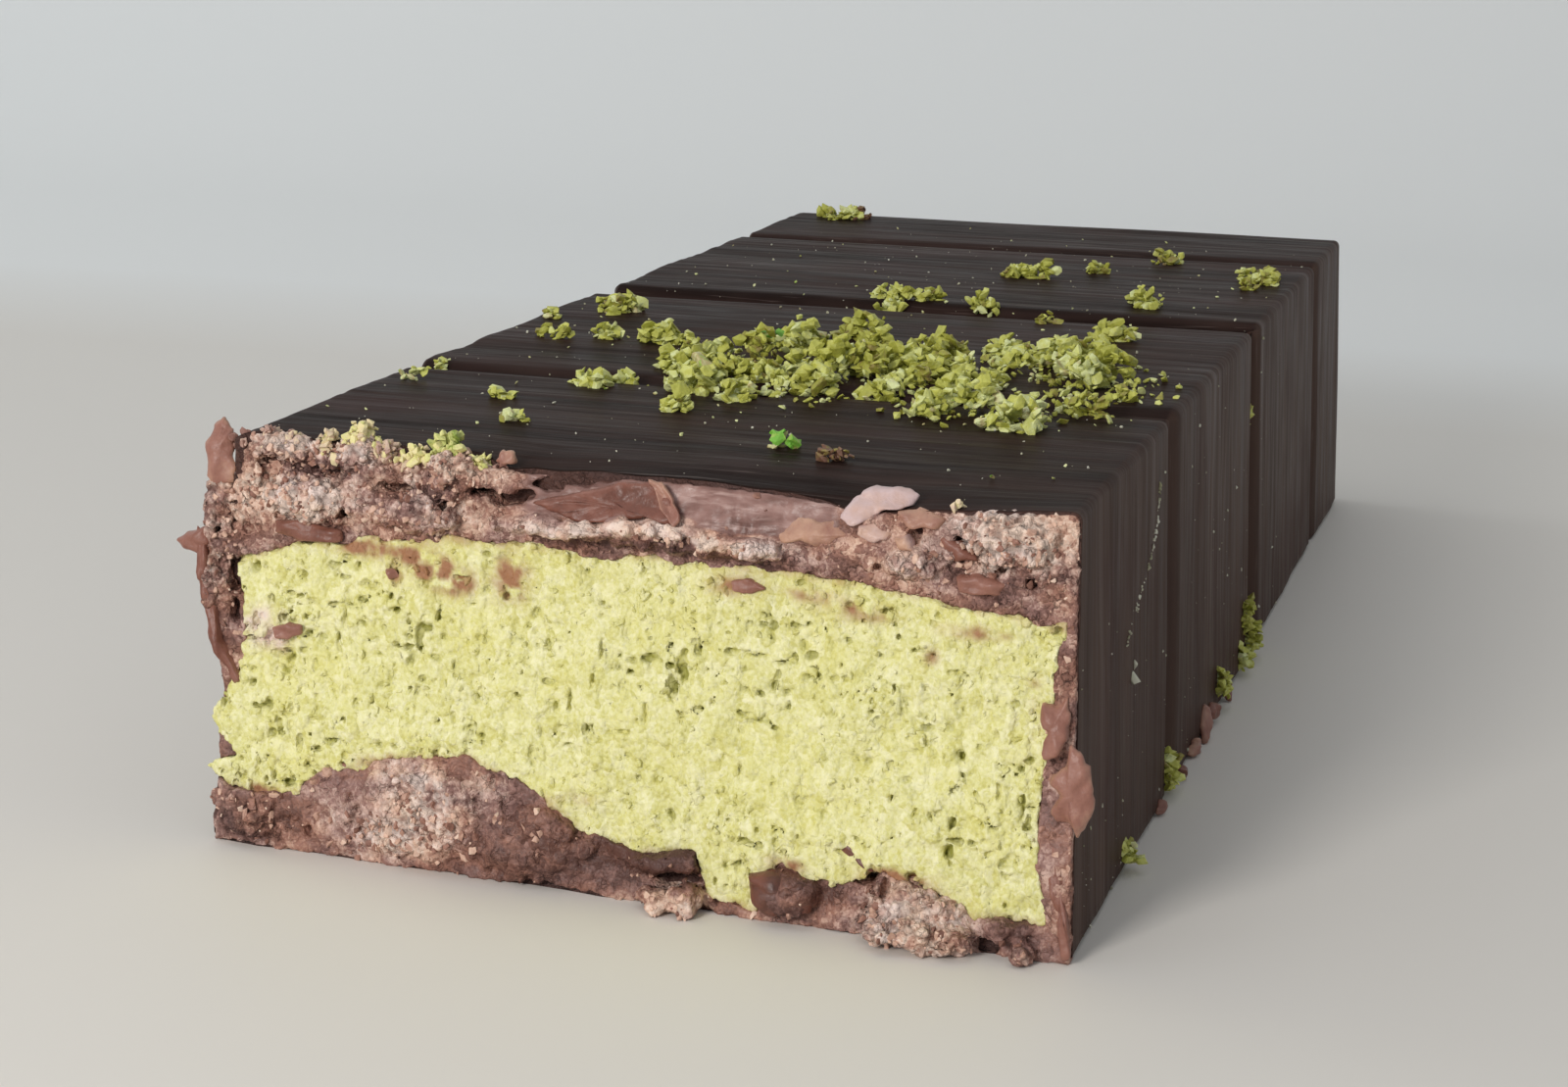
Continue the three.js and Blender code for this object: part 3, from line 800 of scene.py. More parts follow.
def flake_material():
    """Smooth torn flakes, from dark brown through reddish brown to a rosy grey bloom."""
    material, shade, shader = new_material("chocolate_flakes")
    place = shade.place()
    cloud = shade.noise(place, 1.1, detail=4, roughness=0.6)
    tone = shade.ramp(shade.varied(cloud, 0.45, shade.attribute("tint")), FLAKE_TONES)
    normal = shade.bump(shade.noise(place, 3.0, detail=4), 0.1, 0.6)
    shade.surface(shader, tone, shade.maths("MULTIPLY_ADD", cloud, 0.3, 0.28), normal, 0.45)
    return material


CHIP_PALEST = (0.98, rgb(226, 202, 184))


def chip_material(look):
    """Loose chips of torn chocolate, each with its own tone."""
    material, shade, shader = new_material("chocolate_chips")
    fine = shade.noise(shade.place(), 4.0)
    level = shade.maths("MULTIPLY_ADD", fine, 0.5, shade.maths("MULTIPLY", shade.attribute("tint"), 0.65))
    tone = shade.ramp(level, ((0.15, look.broken_dark), (0.42, look.broken_mid), (0.75, look.broken_pale),
                              CHIP_PALEST))
    shade.surface(shader, tone, 0.6, shade.bump(fine, 0.08, 0.7))
    return material


TUFT_TONES = ((0.05, rgb(140, 98, 86)), (0.3, rgb(196, 164, 150)), (0.5, rgb(222, 204, 166)),
              (0.72, rgb(226, 220, 148)), (1.0, rgb(140, 160, 70)))


def tuft_material():
    """Crumbs on the edge, from rosy brown through cream to yellow-green."""
    material, shade, shader = new_material("edge_crumbs")
    fine = shade.noise(shade.place(), 4.0)
    tone = shade.ramp(shade.varied(fine, 0.4, shade.attribute("tint")), TUFT_TONES)
    shade.surface(shader, tone, 0.6, shade.bump(fine, 0.08, 0.7))
    return material


DUST_TONES = ((0.35, rgb(150, 146, 112)), (0.65, rgb(224, 222, 206)))


def dust_material():
    """Fine specks, from olive grey to nearly white."""
    material, shade, shader = new_material("nut_dust")
    shade.surface(shader, shade.ramp(shade.noise(shade.place(), 0.6), DUST_TONES), 0.7)
    return material


# ---- The moulded shell ----
SKIN_STEP = 0.5
FRONT_SET = 0.12
# The skin's rings stand closer together near the cut.
FRONT_RING_STEP = 0.25
FRONT_RINGS_END = 3.0
END_TURNS = (15, 30, 45, 60, 75, 90)
END_SHARES = (0.93, 0.8, 0.6, 0.4, 0.2)
ROOM_DEPTHS = (0.9, 4.0, SHEAR_DEPTH, LENGTH - END_WALL)


def skin_outline(step):
    """Points and outward directions round the moulded outline, from the base's right corner."""
    half = WIDTH / 2
    side = [(half + DRAFT * (1 - z / HEIGHT), z, 1, 0)
            for z in np.linspace(0.35, HEIGHT - EDGE_RADIUS, int(HEIGHT / step))]
    side.insert(0, (half + DRAFT - 0.25, 0, 0.7, 0))
    corner = []
    for turn in np.radians(np.linspace(0, 90, 6))[1:-1]:
        corner.append((half - EDGE_RADIUS + EDGE_RADIUS * math.cos(turn),
                       HEIGHT - EDGE_RADIUS + EDGE_RADIUS * math.sin(turn), math.cos(turn), math.sin(turn)))
    right = side + corner
    left = [(-x, z, -nx, nz) for x, z, nx, nz in reversed(right)]
    reach = half - EDGE_RADIUS
    top = [(x, HEIGHT, 0, 1) for x in np.linspace(reach, -reach, int(WIDTH / step))]
    base = [(x, 0, 0, 0) for x in np.linspace(-half, half, 24)[1:-1]]
    return np.array(right + top + left + base)


def skin_front(x, z):
    """How far behind the flat cut the glossy skin ends, round the outline."""
    ragged = 0.16 * noise2(x / 1.1, z / 1.1, 21) + 0.1 * noise2(x / 0.45, z / 0.45, 22)
    top = fade(z, HEIGHT - 1.2, HEIGHT - 0.3)
    chip = 0.75 * window(x, -7, 10, 1.0)
    crumbly_left = 1.3 * (1 - fade(x, -9, -7)) * fade(x, -22, -20.5)
    edge = FRONT_SET + top * (chip + crumbly_left * (1 + noise2(x / 1.7, 3.3, 23))) + ragged
    broken = window(z, 3.9, 9.3, 0.8) * (x < -WIDTH / 2)
    torn = window(z, 5.5, 13.4, 1.0) * (x > WIDTH / 2 - 0.2)
    return edge + 2.1 * broken + 0.45 * torn


def skin_ring(outline, front, station, draw_in):
    """The points of the skin round the bar at a place along it, drawn in by some distance."""
    x, z, out_x, out_z = outline.T
    share = 1 - fade(station, 0, SHEAR_DEPTH)
    y = station + share * (cut_plane(x, z) + front)
    streak = 0.03 * noise2(y / 0.9, x / 16 + z / 16, 31) + 0.06 * noise2(y / 2.6, x / 12 + z / 9, 32)
    inset = moulding(y) + draw_in + streak
    px = x - out_x * inset - bulge(x, y, z) * (x < 0)
    pz = z - out_z * inset - out_z * sag(x, station + front)
    back = DRAFT * (z / HEIGHT) * fade(y, LENGTH / 2, LENGTH)
    return np.stack((px, y - back, pz), 1)


def skin_rings(outline):
    """All rings of the skin, from the cut to the middle of the far end, and how many are straight."""
    front = skin_front(outline[:, 0], outline[:, 1])
    far = LENGTH - END_RADIUS
    near = np.arange(0, FRONT_RINGS_END, FRONT_RING_STEP)
    stations = np.concatenate((near, np.arange(FRONT_RINGS_END, far, SKIN_STEP), [far]))
    rings = [skin_ring(outline, front, station, 0) for station in stations]
    for turn in np.radians(END_TURNS):
        draw_in = END_RADIUS * 0.8 * (1 - math.cos(turn))
        rings.append(skin_ring(outline, front, far + END_RADIUS * math.sin(turn), draw_in))
    end = rings[-1]
    middle = np.array((0, end[:, 1].mean(), HEIGHT / 2))
    for share in END_SHARES:
        inner = middle + (end - middle) * share
        inner[:, 1] = end[:, 1]
        rings.append(inner)
    return rings, len(stations)


def room_rings(outline):
    """Rings round the room for the filling, from the cut to the far wall."""
    x, z = outline[:, 0], outline[:, 1]
    half = WIDTH / 2 - SIDE_WALL
    px = np.clip(x, -WIDTH / 2, WIDTH / 2) * half / (WIDTH / 2)
    pz = BASE_WALL + np.clip(z / HEIGHT, 0, 1) * (HEIGHT - TOP_WALL - BASE_WALL)
    rings = []
    for depth in ROOM_DEPTHS:
        share = 1 - fade(depth, 0, SHEAR_DEPTH)
        rings.append(np.stack((px, depth + share * (cut_plane(px, pz) + 1.0), pz), 1))
    return rings


def shell_faces(count, outer, inner):
    """The faces between rings of count points, and the finish of each: 0 the skin, 1 torn chocolate."""
    faces = []
    slots = []

    def strip(first, second, slot):
        for i in range(count):
            j = (i + 1) % count
            faces.append((first + j, second + j, second + i, first + i))
            slots.append(slot)

    for k in range(outer - 1):
        strip(k * count, (k + 1) * count, 0)
    start = outer * count
    faces.append([start - count + i for i in range(count)])
    slots.append(0)
    strip(start, 0, 1)
    for k in range(inner - 1):
        strip(start + (k + 1) * count, start + k * count, 1)
    faces.append([start + (inner - 1) * count + i for i in reversed(range(count))])
    slots.append(1)
    return faces, slots


def moulded_shell(materials):
    """The outside of the bar with its grooves, and the room for the filling inside it."""
    outline = skin_outline(SKIN_STEP)
    count = len(outline)
    rings, straight = skin_rings(outline)
    room = room_rings(outline)
    points = np.concatenate(rings + room)
    faces, slots = shell_faces(count, len(rings), len(room))
    turning = np.clip((np.arange(len(rings)) - straight + 1) / len(END_TURNS), 0, 1)[:, None]
    side, long = np.zeros((2, len(points)))
    skin = slice(0, len(rings) * count)
    # side marks the long sides, which get a painted sheen with some real wear.
    side[skin] = mix(np.abs(outline[:, 2])[None], 0.5, turning).ravel()
    long[skin] = np.repeat(1 - turning[:, 0], count)
    zeros = np.zeros(len(points))
    # deep of 0.6 gives the room inside a painted shade.
    extras = {"pale": zeros, "slick": zeros, "deep": zeros + 0.6, "side": side, "long": long}
    return make_piece("moulded_shell", points, faces, materials, extras, slots)


# ---- The torn chocolate on the cut ----
CHIP = (-6.3, 10.5, 18.3)
TORN_BACK = 2.3
# Torn lumps and holes: [across, up, forward, wide, deep, tall].
LUMPS = (
    (2.1, 0.55, 1.1, 2.0, 2.0, 1.2), (3.7, 0.9, 1.2, 2.0, 2.0, 1.5), (2.9, 0.4, 1.2, 2.6, 2.0, 0.9),
    (20.5, 0.5, 1.0, 1.5, 1.9, 1.1),
    (-4.3, 17.9, 0.7, 3.4, 1.6, 0.9), (-2.3, 18.1, 0.85, 2.2, 1.6, 0.7), (-0.5, 18.3, 0.8, 3.0, 1.6, 1.0),
    (2.2, 18.35, 0.85, 3.6, 1.6, 0.8), (4.6, 18.0, 0.75, 2.6, 1.6, 0.9), (6.4, 18.0, 0.8, 2.8, 1.6, 0.7),
    (-19.6, 20.3, 0.0, 3.0, 2.0, 1.6), (-15.2, 20.5, -0.1, 2.6, 2.0, 1.6), (-9.8, 20.1, 0.2, 2.4, 2.2, 2.0),
    (-17.5, 18.0, 0.6, 5.0, 2.2, 2.2), (-11.5, 17.9, 0.6, 5.0, 2.2, 2.0), (18.8, 19.4, 0.5, 4.6, 2.0, 2.4),
    (14.0, 18.0, 0.3, 3.4, 1.8, 1.8), (-10.5, 3.0, 0.5, 9.0, 2.4, 5.0), (-5.0, 2.2, 0.3, 7.0, 2.2, 4.0),
    (-20.9, 1.9, 0.2, 3.8, 2.0, 3.4), (8.6, 1.5, 0.5, 3.4, 2.2, 2.3), (15.4, 0.8, 1.3, 6.2, 3.6, 1.9),
    (15.4, 1.9, 0.6, 4.6, 2.2, 2.2), (19.6, 1.3, 0.4, 2.6, 1.8, 1.3), (2.0, 2.3, 0.3, 4.4, 1.8, 1.6),
    (3.2, 17.75, 0.5, 11.0, 1.6, 0.9), (-5.2, 17.9, 0.4, 4.4, 1.6, 1.1),
    (-22.9, 16.6, -0.1, 1.8, 2.0, 4.4), (-23.2, 13.4, -0.1, 1.2, 2.0, 3.4),
)
HOLLOWS = (
    (2.9, 1.3, 0.5, 3.0, 3.4, 0.9), (18.8, 0.4, 0.9, 1.3, 3.0, 0.9), (12.4, 2.9, 0.6, 1.9, 3.2, 1.1),
    (11.2, 4.4, 0.4, 1.0, 2.4, 0.6), (6.6, 1.8, 0.5, 0.5, 2.6, 2.6), (12.5, 0.45, 1.5, 0.8, 2.0, 0.5),
    (13.6, 2.4, 0.5, 0.5, 2.0, 1.0), (-19.8, 19.75, 0.6, 2.0, 2.2, 0.65), (-17.2, 19.45, 0.5, 3.0, 2.0, 0.6),
    (-21.8, 17.3, 0.5, 0.7, 1.8, 0.5), (-19.5, 17.1, 0.5, 0.7, 1.8, 0.5), (-21.2, 16.4, 0.5, 0.5, 1.8, 0.7),
    (-22.7, 16.1, 0.4, 0.5, 1.6, 0.5), (-12.8, 19.0, 0.3, 1.8, 1.6, 0.5), (-10.2, 18.4, 0.3, 0.8, 1.6, 0.5),
    (-8.2, 19.2, 0.6, 1.8, 3.4, 0.6), (-7.0, 18.95, 0.6, 2.2, 3.4, 0.7), (-5.9, 19.25, 0.6, 1.6, 3.4, 0.55),
    (-5.0, 19.75, 0.3, 2.6, 3.4, 0.6), (-3.7, 20.1, 0.3, 2.8, 3.4, 0.65), (-2.2, 20.4, 0.3, 2.8, 3.4, 0.6),
    (-0.7, 20.6, 0.3, 2.4, 3.4, 0.5), (-15.6, 17.5, 0.3, 0.8, 1.4, 0.5),
    (16.3, 19.2, 0.5, 1.2, 1.8, 0.4), (17.1, 18.6, 0.4, 0.8, 1.6, 0.4), (18.3, 17.9, 0.4, 0.8, 1.4, 0.5),
    (12.4, 17.5, 0.4, 0.7, 1.4, 0.6), (19.9, 17.5, 0.4, 0.5, 1.4, 0.5), (14.2, 19.3, 0.4, 0.6, 1.4, 0.8),
    (-21.9, 13.9, 0.6, 0.6, 3.4, 1.8), (-21.9, 11.9, 0.6, 0.5, 3.4, 1.2), (-17.4, 1.1, 0.5, 0.6, 2.0, 0.6),
    (-4.8, 0.0, 0.5, 4.0, 2.0, 0.5), (-1.6, 3.6, 0.4, 0.8, 1.6, 0.5),
)
# Where the torn chocolate crumbles most, and where it is paler or darker than elsewhere:
# [across, up, wide, tall, amount].
CRUMBLY = (
    (3.0, 0.7, 3.0, 1.4, 0.6), (20.5, 0.4, 1.6, 1.2, 0.5),
    (-16.5, 20.5, 11.0, 2.4, 0.8), (-18.0, 18.2, 9.0, 2.2, 0.9), (-9.8, 19.2, 5.0, 3.4, 0.8),
    (-22.8, 15.6, 2.6, 6.0, 0.9), (18.8, 19.4, 6.0, 3.2, 0.8), (14.4, 17.8, 4.0, 2.2, 0.5),
    (-10.0, 3.6, 6.0, 2.8, 0.75), (-13.6, 1.4, 7.0, 2.0, 0.7), (15.4, 1.2, 5.5, 3.6, 0.85),
    (-20.6, 1.6, 4.0, 2.6, 0.6), (3.0, 18.0, 12.0, 0.8, 0.5),
)
TONES = (
    (3.0, 0.7, 3.0, 1.2, 0.3),
    (-13.5, 20.8, 14.0, 1.3, 0.34), (-18.6, 18.2, 6.5, 2.0, 0.46), (-10.5, 18.0, 7.0, 1.6, 0.1),
    (-17.6, 19.6, 5.0, 0.7, -0.3), (18.8, 19.5, 5.0, 2.4, 0.42), (17.2, 17.2, 3.4, 1.2, -0.12),
    (12.9, 18.6, 3.4, 1.6, 0.22), (-2.5, 1.6, 9.0, 3.2, -0.22), (8.5, 1.6, 3.6, 2.4, -0.3),
    (2.3, 2.4, 4.6, 1.8, -0.34), (15.6, 1.4, 5.5, 3.4, 0.2), (-11.0, 3.2, 5.0, 3.2, 0.34),
    (-13.0, 1.2, 6.0, 1.4, 0.25), (-20.8, 1.4, 3.6, 1.8, -0.2), (19.6, 1.2, 2.6, 1.6, -0.12),
)


def zones(table, x, z):
    """A sum of soft oval zones on the cut."""
    total = 0.0
    for across, up, wide, tall, amount in table:
        reach = ((x - across) / wide) ** 2 + ((z - up) / tall) ** 2
        total = total + amount * np.exp(-4.0 * reach ** 1.5)
    return total


def chip_share(x, z):
    """One inside the smooth scooped place in the middle of the top, and nought round it."""
    return window(x, CHIP[0], CHIP[1], 0.9) * fade(z, CHIP[2] - 0.25, CHIP[2] + 0.35)


def crumble(x, z):
    """How crumbly the torn chocolate is at a place on the cut, from 0 to 1."""
    return np.clip(0.12 + zones(CRUMBLY, x, z), 0, 1) * (1 - chip_share(x, z))


def blob_distance(points, centre, size):
    """About the distance to an egg-shaped blob of the given full size."""
    radii = np.array(size, np.float32) / 2
    away = (points - np.array(centre, np.float32)) / radii
    return (np.sqrt((away ** 2).sum(-1)) - 1) * radii.min()


def block_near(grid, centre, size, margin):
    """The part of a block of grid points round a blob, as slices."""
    lines = (grid[:, 0, 0, 0], grid[0, :, 0, 1], grid[0, 0, :, 2])
    slices = []
    for line, middle, full in zip(lines, centre, size):
        inside = np.nonzero(np.abs(line - middle) < full / 2 + margin)[0]
        slices.append(slice(inside[0], inside[-1] + 1))
    return tuple(slices)


def in_band(field, reach, grid, layers):
    """Layered noise where a field is within reach of its surface, and nought elsewhere."""
    band = np.abs(field) < reach
    noise = np.zeros_like(field)
    noise[band] = layered(grid[band], layers)
    return noise


# Layers of noise: height, size of its cells, seed.
RAGGED = ((0.28, 1.2, 7), (0.16, 0.5, 8))
CRUMBLY_RELIEF = ((0.34, (2.6, 2.6, 1.5), 1), (0.3, 1.1, 2), (0.22, 0.5, 3))
SCOOP_RELIEF = ((0.24, (5, 4, 2.4), 6), (0.08, (1.4, 2, 1.0), 5))
LUMP_RELIEF = ((0.2, 0.8, 9), (0.14, 0.4, 10))
HOLLOW_RELIEF = ((0.1, 0.6, 9), (0.08, 0.35, 10))
# The pale ledge under the scooped place: across, up.
LEDGE_LINE = ((-6, 17.9), (-3, 18.15), (-0.3, 18.6), (2.3, 18.55), (4.7, 18.2), (8, 18.0))
TORN_STEP = 0.155
TORN_BLOCK = ((-25.6, -3.2, -0.46), (24.4, TORN_BACK + 0.35, 22.6))
# How far the torn chocolate reaches over the filling's edge.
OVERLAP = 0.12


def torn_relief(grid, band):
    """How far the torn surface stands behind the knife's plane, on the points of a band."""
    x, z = grid[..., 0], grid[..., 2]
    crumbly = np.zeros_like(x)
    scoop = np.zeros_like(x)
    rough = mix(0.35, 1.0, crumble(x, z))
    crumbly[band] = layered(grid[band], CRUMBLY_RELIEF)
    scoop[band] = layered(grid[band], SCOOP_RELIEF)
    scoop = scoop + 0.15 + 0.42 * (z - CHIP[2] - 0.4)
    left_top = 0.7 * fade(z, 19.6, 20.9) * (1 - fade(x, -9, -6.5))
    return mix(crumbly * rough + left_top, scoop, chip_share(x, z))


def add_blobs(field, grid, filling, blobs, joined):
    """Joins uneven lumps to a block of distances, or takes hollows out of it."""
    for across, up, forward, *size in blobs:
        centre = (across, size[1] * 0.25 - forward, up)
        part = block_near(grid, centre, size, 0.7)
        shape = grid[part].reshape(-1, 3)
        uneven = layered(shape, LUMP_RELIEF if joined else HOLLOW_RELIEF)
        blob = (blob_distance(shape, centre, size) + uneven).reshape(field[part].shape)
        if joined:
            blob = np.maximum(blob, np.maximum(-filling[part] - OVERLAP, 0.02 - grid[part][..., 2]))
            field[part] = np.minimum(field[part], blob)
        else:
            field[part] = np.maximum(field[part], -blob)


def torn_chocolate(material):
    """The broken chocolate round the cut, with its lumps, hollows and scooped place."""
    grid = grid_of(*TORN_BLOCK, TORN_STEP)
    x, depth, z = grid[..., 0], grid[..., 1], grid[..., 2]
    filling = filling_distance(x, depth, z)
    outside = outer_distance(x, depth, z, 0.07) + 0.3 * fade(depth, 0.4, 1.4)
    band = (filling > -0.9) & (outside < 0.5) & (np.abs(depth) < 2.4)
    relief = torn_relief(grid, band)
    filling = filling + in_band(filling, 0.9, grid, RAGGED)
    field = np.maximum(np.maximum(outside, -filling - OVERLAP), np.maximum(relief - depth, depth - TORN_BACK))
    add_blobs(field, grid, filling, LUMPS, True)
    add_blobs(field, grid, filling, HOLLOWS, False)
    points, quads = surface_nets(closed(field), np.array(grid[0, 0, 0]), TORN_STEP)
    return crumbled(*large_parts(points, quads), material)


def crumbled(points, quads, material):
    """Breaks the torn surface up into crumbs, notes its tones, and makes the piece."""
    normals = normals_of(points, quads)
    nearest, second, number = grains3(points, 0.58, 12)
    fine, _, fine_number = grains3(points, 0.3, 14)
    x, depth, z = points.T
    crumbly = crumble(x, z)
    crumbly = np.clip(crumbly + 0.45 * noise3(points, (2.2, 2.2, 1.3), 15), 0, 1) * (1 - chip_share(x, z))
    front = 1 - fade(depth, TORN_BACK - 0.7, TORN_BACK - 0.2)
    seam = 1 - np.clip((second - nearest) / 0.25, 0, 1)
    push = (0.05 - 0.2 * seam + 0.12 * (0.5 - fine) + 0.2 * (number - 0.5)) * mix(0.14, 1, crumbly)
    drag = 0.06 * noise3(points, (0.4, 1.5, 2.4), 16) * (1 - crumbly)
    points = points + normals * ((push + drag + 0.03 * noise3(points, 0.25, 13)) * front)[:, None]
    points[:, 2] = np.maximum(points[:, 2], 0.0)
    line = along(LEDGE_LINE, x)
    ledge = window(z - line + 0.3 * noise2(x / 1.3, z, 19), -0.5, 0.3, 0.2) * window(x, -6, 8, 1.5)
    ledge = ledge * np.clip(0.75 + 0.5 * noise2(x / 0.8, z / 0.5, 20), 0, 1)
    uneven = crumbly * (0.13 + 0.38 * (number - 0.5) + 0.3 * (fine_number - 0.5))
    uneven = uneven + 0.2 * noise3(points, (1.8, 1.8, 0.8), 17)
    shade = 0.2 * window(z - line, -1.3, -0.5, 0.3) * window(x, -6, 8, 1.5)
    pale = 0.36 + zones(TONES, x, z) + uneven + 0.62 * ledge - shade
    slick = np.maximum(chip_share(x, z) * (1 - ledge), 0.55 * (1 - crumbly) * fade(z, 10, 6))
    # deep is a painted shade: darker far behind the cut and in the seams between grains.
    painted_shade = mix(fade(depth, 0.75, 1.9), fade(depth, 1.25, 1.9), chip_share(x, z))
    deep = np.clip(painted_shade + 0.85 * seam * crumbly, 0, 1)
    extras = {"pale": np.clip(pale, 0, 1), "slick": slick, "deep": deep * 0.9}
    return make_piece("torn_chocolate", to_bar(points), quads, [material], extras)


# ---- The filling ----
PASTE_BACK = 2.0
PASTE_STEP = 0.142
PASTE_BLOCK = ((-23.7, -1.4, -0.12), (22.6, PASTE_BACK + 0.3, 17.9))
# Layers of noise: height, size of its cells, seed.
PASTE_RELIEF = ((0.2, (6, 6, 5), 41), (0.15, (1.7, 1.7, 2.2), 42), (0.12, 0.75, 43),
                (0.1, (0.4, 0.8, 1.4), 44))
# Brown smears: [across, up, wide, tall, amount].
SMEARS = (
    (-14.0, 15.9, 3.6, 0.8, 1.3), (-11.4, 15.7, 1.8, 1.0, 1.4), (-10.5, 15.1, 2.0, 1.4, 1.6),
    (-9.3, 14.7, 1.5, 1.1, 1.6), (-6.5, 15.0, 1.6, 1.9, 1.6), (-12.7, 14.8, 0.8, 0.8, 1.2),
    (-19.0, 10.4, 0.7, 0.5, 0.7), (5.3, 15.9, 2.2, 0.9, 0.9), (11.6, 15.3, 3.0, 0.8, 0.8),
    (15.2, 13.6, 0.8, 1.0, 0.5), (-20.0, 2.9, 1.8, 0.7, 0.9), (-13.0, 5.2, 3.0, 0.8, 0.5),
    (14.2, 2.9, 3.0, 0.8, 0.9), (17.4, 15.0, 3.0, 0.6, 0.9), (8.4, 2.9, 1.6, 0.7, 0.9),
    (-2.6, 4.6, 2.4, 0.6, 0.4), (9.4, 15.9, 2.4, 0.6, 0.8), (20.4, 12.6, 0.8, 1.4, 0.4),
)
# A rosy white smear in the filling, in the same way.
ROSE = ((-20.3, 11.4, 1.9, 1.5, 0.9), (-19.6, 10.7, 1.2, 0.9, 0.8))


# Round pits, upright slits and level cracks: [cell, seed, least noise, how much it varies, depth].
PITS = (((0.46, 2.4, 0.4), 50, 0.88, 0.2, 3.0), ((0.22, 3.0, 0.75), 55, 0.7, 0.16, 2.2),
        ((0.85, 3.0, 0.22), 57, 0.7, 0.16, 2.2))
DEEPEST_PIT = 0.6


def paste_pits(points):
    """How deep the small pits between torn granules of the paste go, in millimetres."""
    bent = points + 0.25 * noise3(points, 0.6, 54)[:, None]
    where = noise3(points, (3.4, 9, 2.8), 46)
    total = 0
    for cell, seed, least, spread, deep in PITS:
        total = total + np.clip(noise3(bent, cell, seed) - least + spread * where, 0, 1) * deep
    return np.minimum(total, DEEPEST_PIT)


def paste_front():
    """The crumbly part of the filling near the cut, before its grains are pushed out."""
    grid = grid_of(*PASTE_BLOCK, PASTE_STEP)
    x, depth, z = grid[..., 0], grid[..., 1], grid[..., 2]
    outline = filling_distance(x, depth, z)
    outline = outline + in_band(outline, 0.9, grid, RAGGED)
    band = (outline < 0.6) & (np.abs(depth) < 1.9)
    relief = np.zeros_like(x)
    relief[band] = layered(grid[band], PASTE_RELIEF) + paste_pits(grid[band])
    field = np.maximum(np.maximum(outline, 0.05 - z), np.maximum(relief - depth, depth - PASTE_BACK))
    points, quads = surface_nets(closed(field), np.array(grid[0, 0, 0]), PASTE_STEP)
    return large_parts(points, quads)


def pistachio_filling(material):
    """The filling: its crumbly cut face with pits and smears, and the plain rest behind."""
    points, quads = paste_front()
    normals = normals_of(points, quads)
    nearest, second, number = grains3(points, 0.52, 48)
    depth = points[:, 1]
    front = 1 - fade(depth, PASTE_BACK - 0.7, PASTE_BACK - 0.2)
    seam = 1 - np.clip((second - nearest) / 0.3, 0, 1)
    push = 0.12 * (number - 0.5) - 0.08 * seam + 0.04 * noise3(points, 0.2, 49)
    # Pits and places far behind the cut: partly the paste's own olive, partly a painted shade.
    pit = np.clip(1.5 * paste_pits(points) * fade(depth, 0.0, 0.4) + fade(depth, 0.9, 1.7), 0, 1)
    points = points + normals * (push * front)[:, None]
    rose = zones(ROSE, points[:, 0], points[:, 2]) * (0.8 + 0.6 * noise3(points, 0.5, 56))
    extras = {"pit": pit, "smear": smears(points), "rose": np.clip(rose, 0, 1)}
    rear_points, rear_quads = filling_rear()
    quads = np.concatenate((quads, rear_quads + len(points)))
    points = np.concatenate((to_bar(points), rear_points))
    plain = np.zeros(len(rear_points))
    extras = {key: np.concatenate((value, plain)) for key, value in extras.items()}
    return make_piece("pistachio_paste", points, quads, [material], extras)


def smears(points):
    """Brown smears that the knife dragged into the filling."""
    x, z = points[:, 0], points[:, 2]
    total = 0.4 * fade(z - along(FILLING_TOP, x), -0.5, 0.0)
    total = total + 0.35 * fade(along(FILLING_BASE, x) - z, -0.5, 0.0)
    for across, up, wide, tall, amount in SMEARS:
        reach = ((x - across) / wide) ** 2 + ((z - up) / tall) ** 2
        total = total + 1.2 * amount * np.exp(-4.0 * reach)
    broken = 0.7 + 0.9 * noise3(points, (0.7, 0.7, 0.5), 51) + 0.4 * noise3(points, 0.25, 52)
    return np.clip(total * broken, 0, 1)


def filling_rear():
    """The plain rest of the filling, which runs through to the far wall."""
    half = WIDTH / 2 - SIDE_WALL - 0.1
    low, high = BASE_WALL + 0.1, HEIGHT - TOP_WALL - 0.1
    points = []
    for depth in (PASTE_BACK - 0.4, SHEAR_DEPTH, LENGTH - END_WALL - 0.1):
        share = 1 - fade(depth, 0, SHEAR_DEPTH)
        for x, z in ((half, low), (half, high), (-half, high), (-half, low)):
            points.append((x, depth + share * cut_plane(x, z), z))
    quads = [(3, 2, 1, 0), (8, 9, 10, 11)]
    for k in (0, 4):
        for i in range(4):
            j = (i + 1) % 4
            quads.append((k + j, k + 4 + j, k + 4 + i, k + i))
    return np.array(points), np.array(quads)


# ---- Chips: small angular bits, scattered by Geometry Nodes ----


def hull(points):
    """The points and faces of the smallest closed shape round some points."""
    shape = bmesh.new()
    for point in points:
        shape.verts.new(point)
    result = bmesh.ops.convex_hull(shape, input=shape.verts)
    spare = set(result["geom_interior"]) | set(result["geom_unused"])
    spare = [item for item in spare if isinstance(item, bmesh.types.BMVert)]
    bmesh.ops.delete(shape, geom=spare, context="VERTS")
    shape.verts.index_update()
    corners = np.array([v.co for v in shape.verts])
    faces = [[v.index for v in face.verts] for face in shape.faces]
    shape.free()
    return corners, faces


# The mean width of a chip shape, and how many shapes there are.
CHIP_WIDTH = 0.65 * MM
CHIP_KINDS = 12
CHIP_SEED = 5
CHIP_CORNERS = 15
CHIP_RADII = (0.5, 0.4, 0.32)


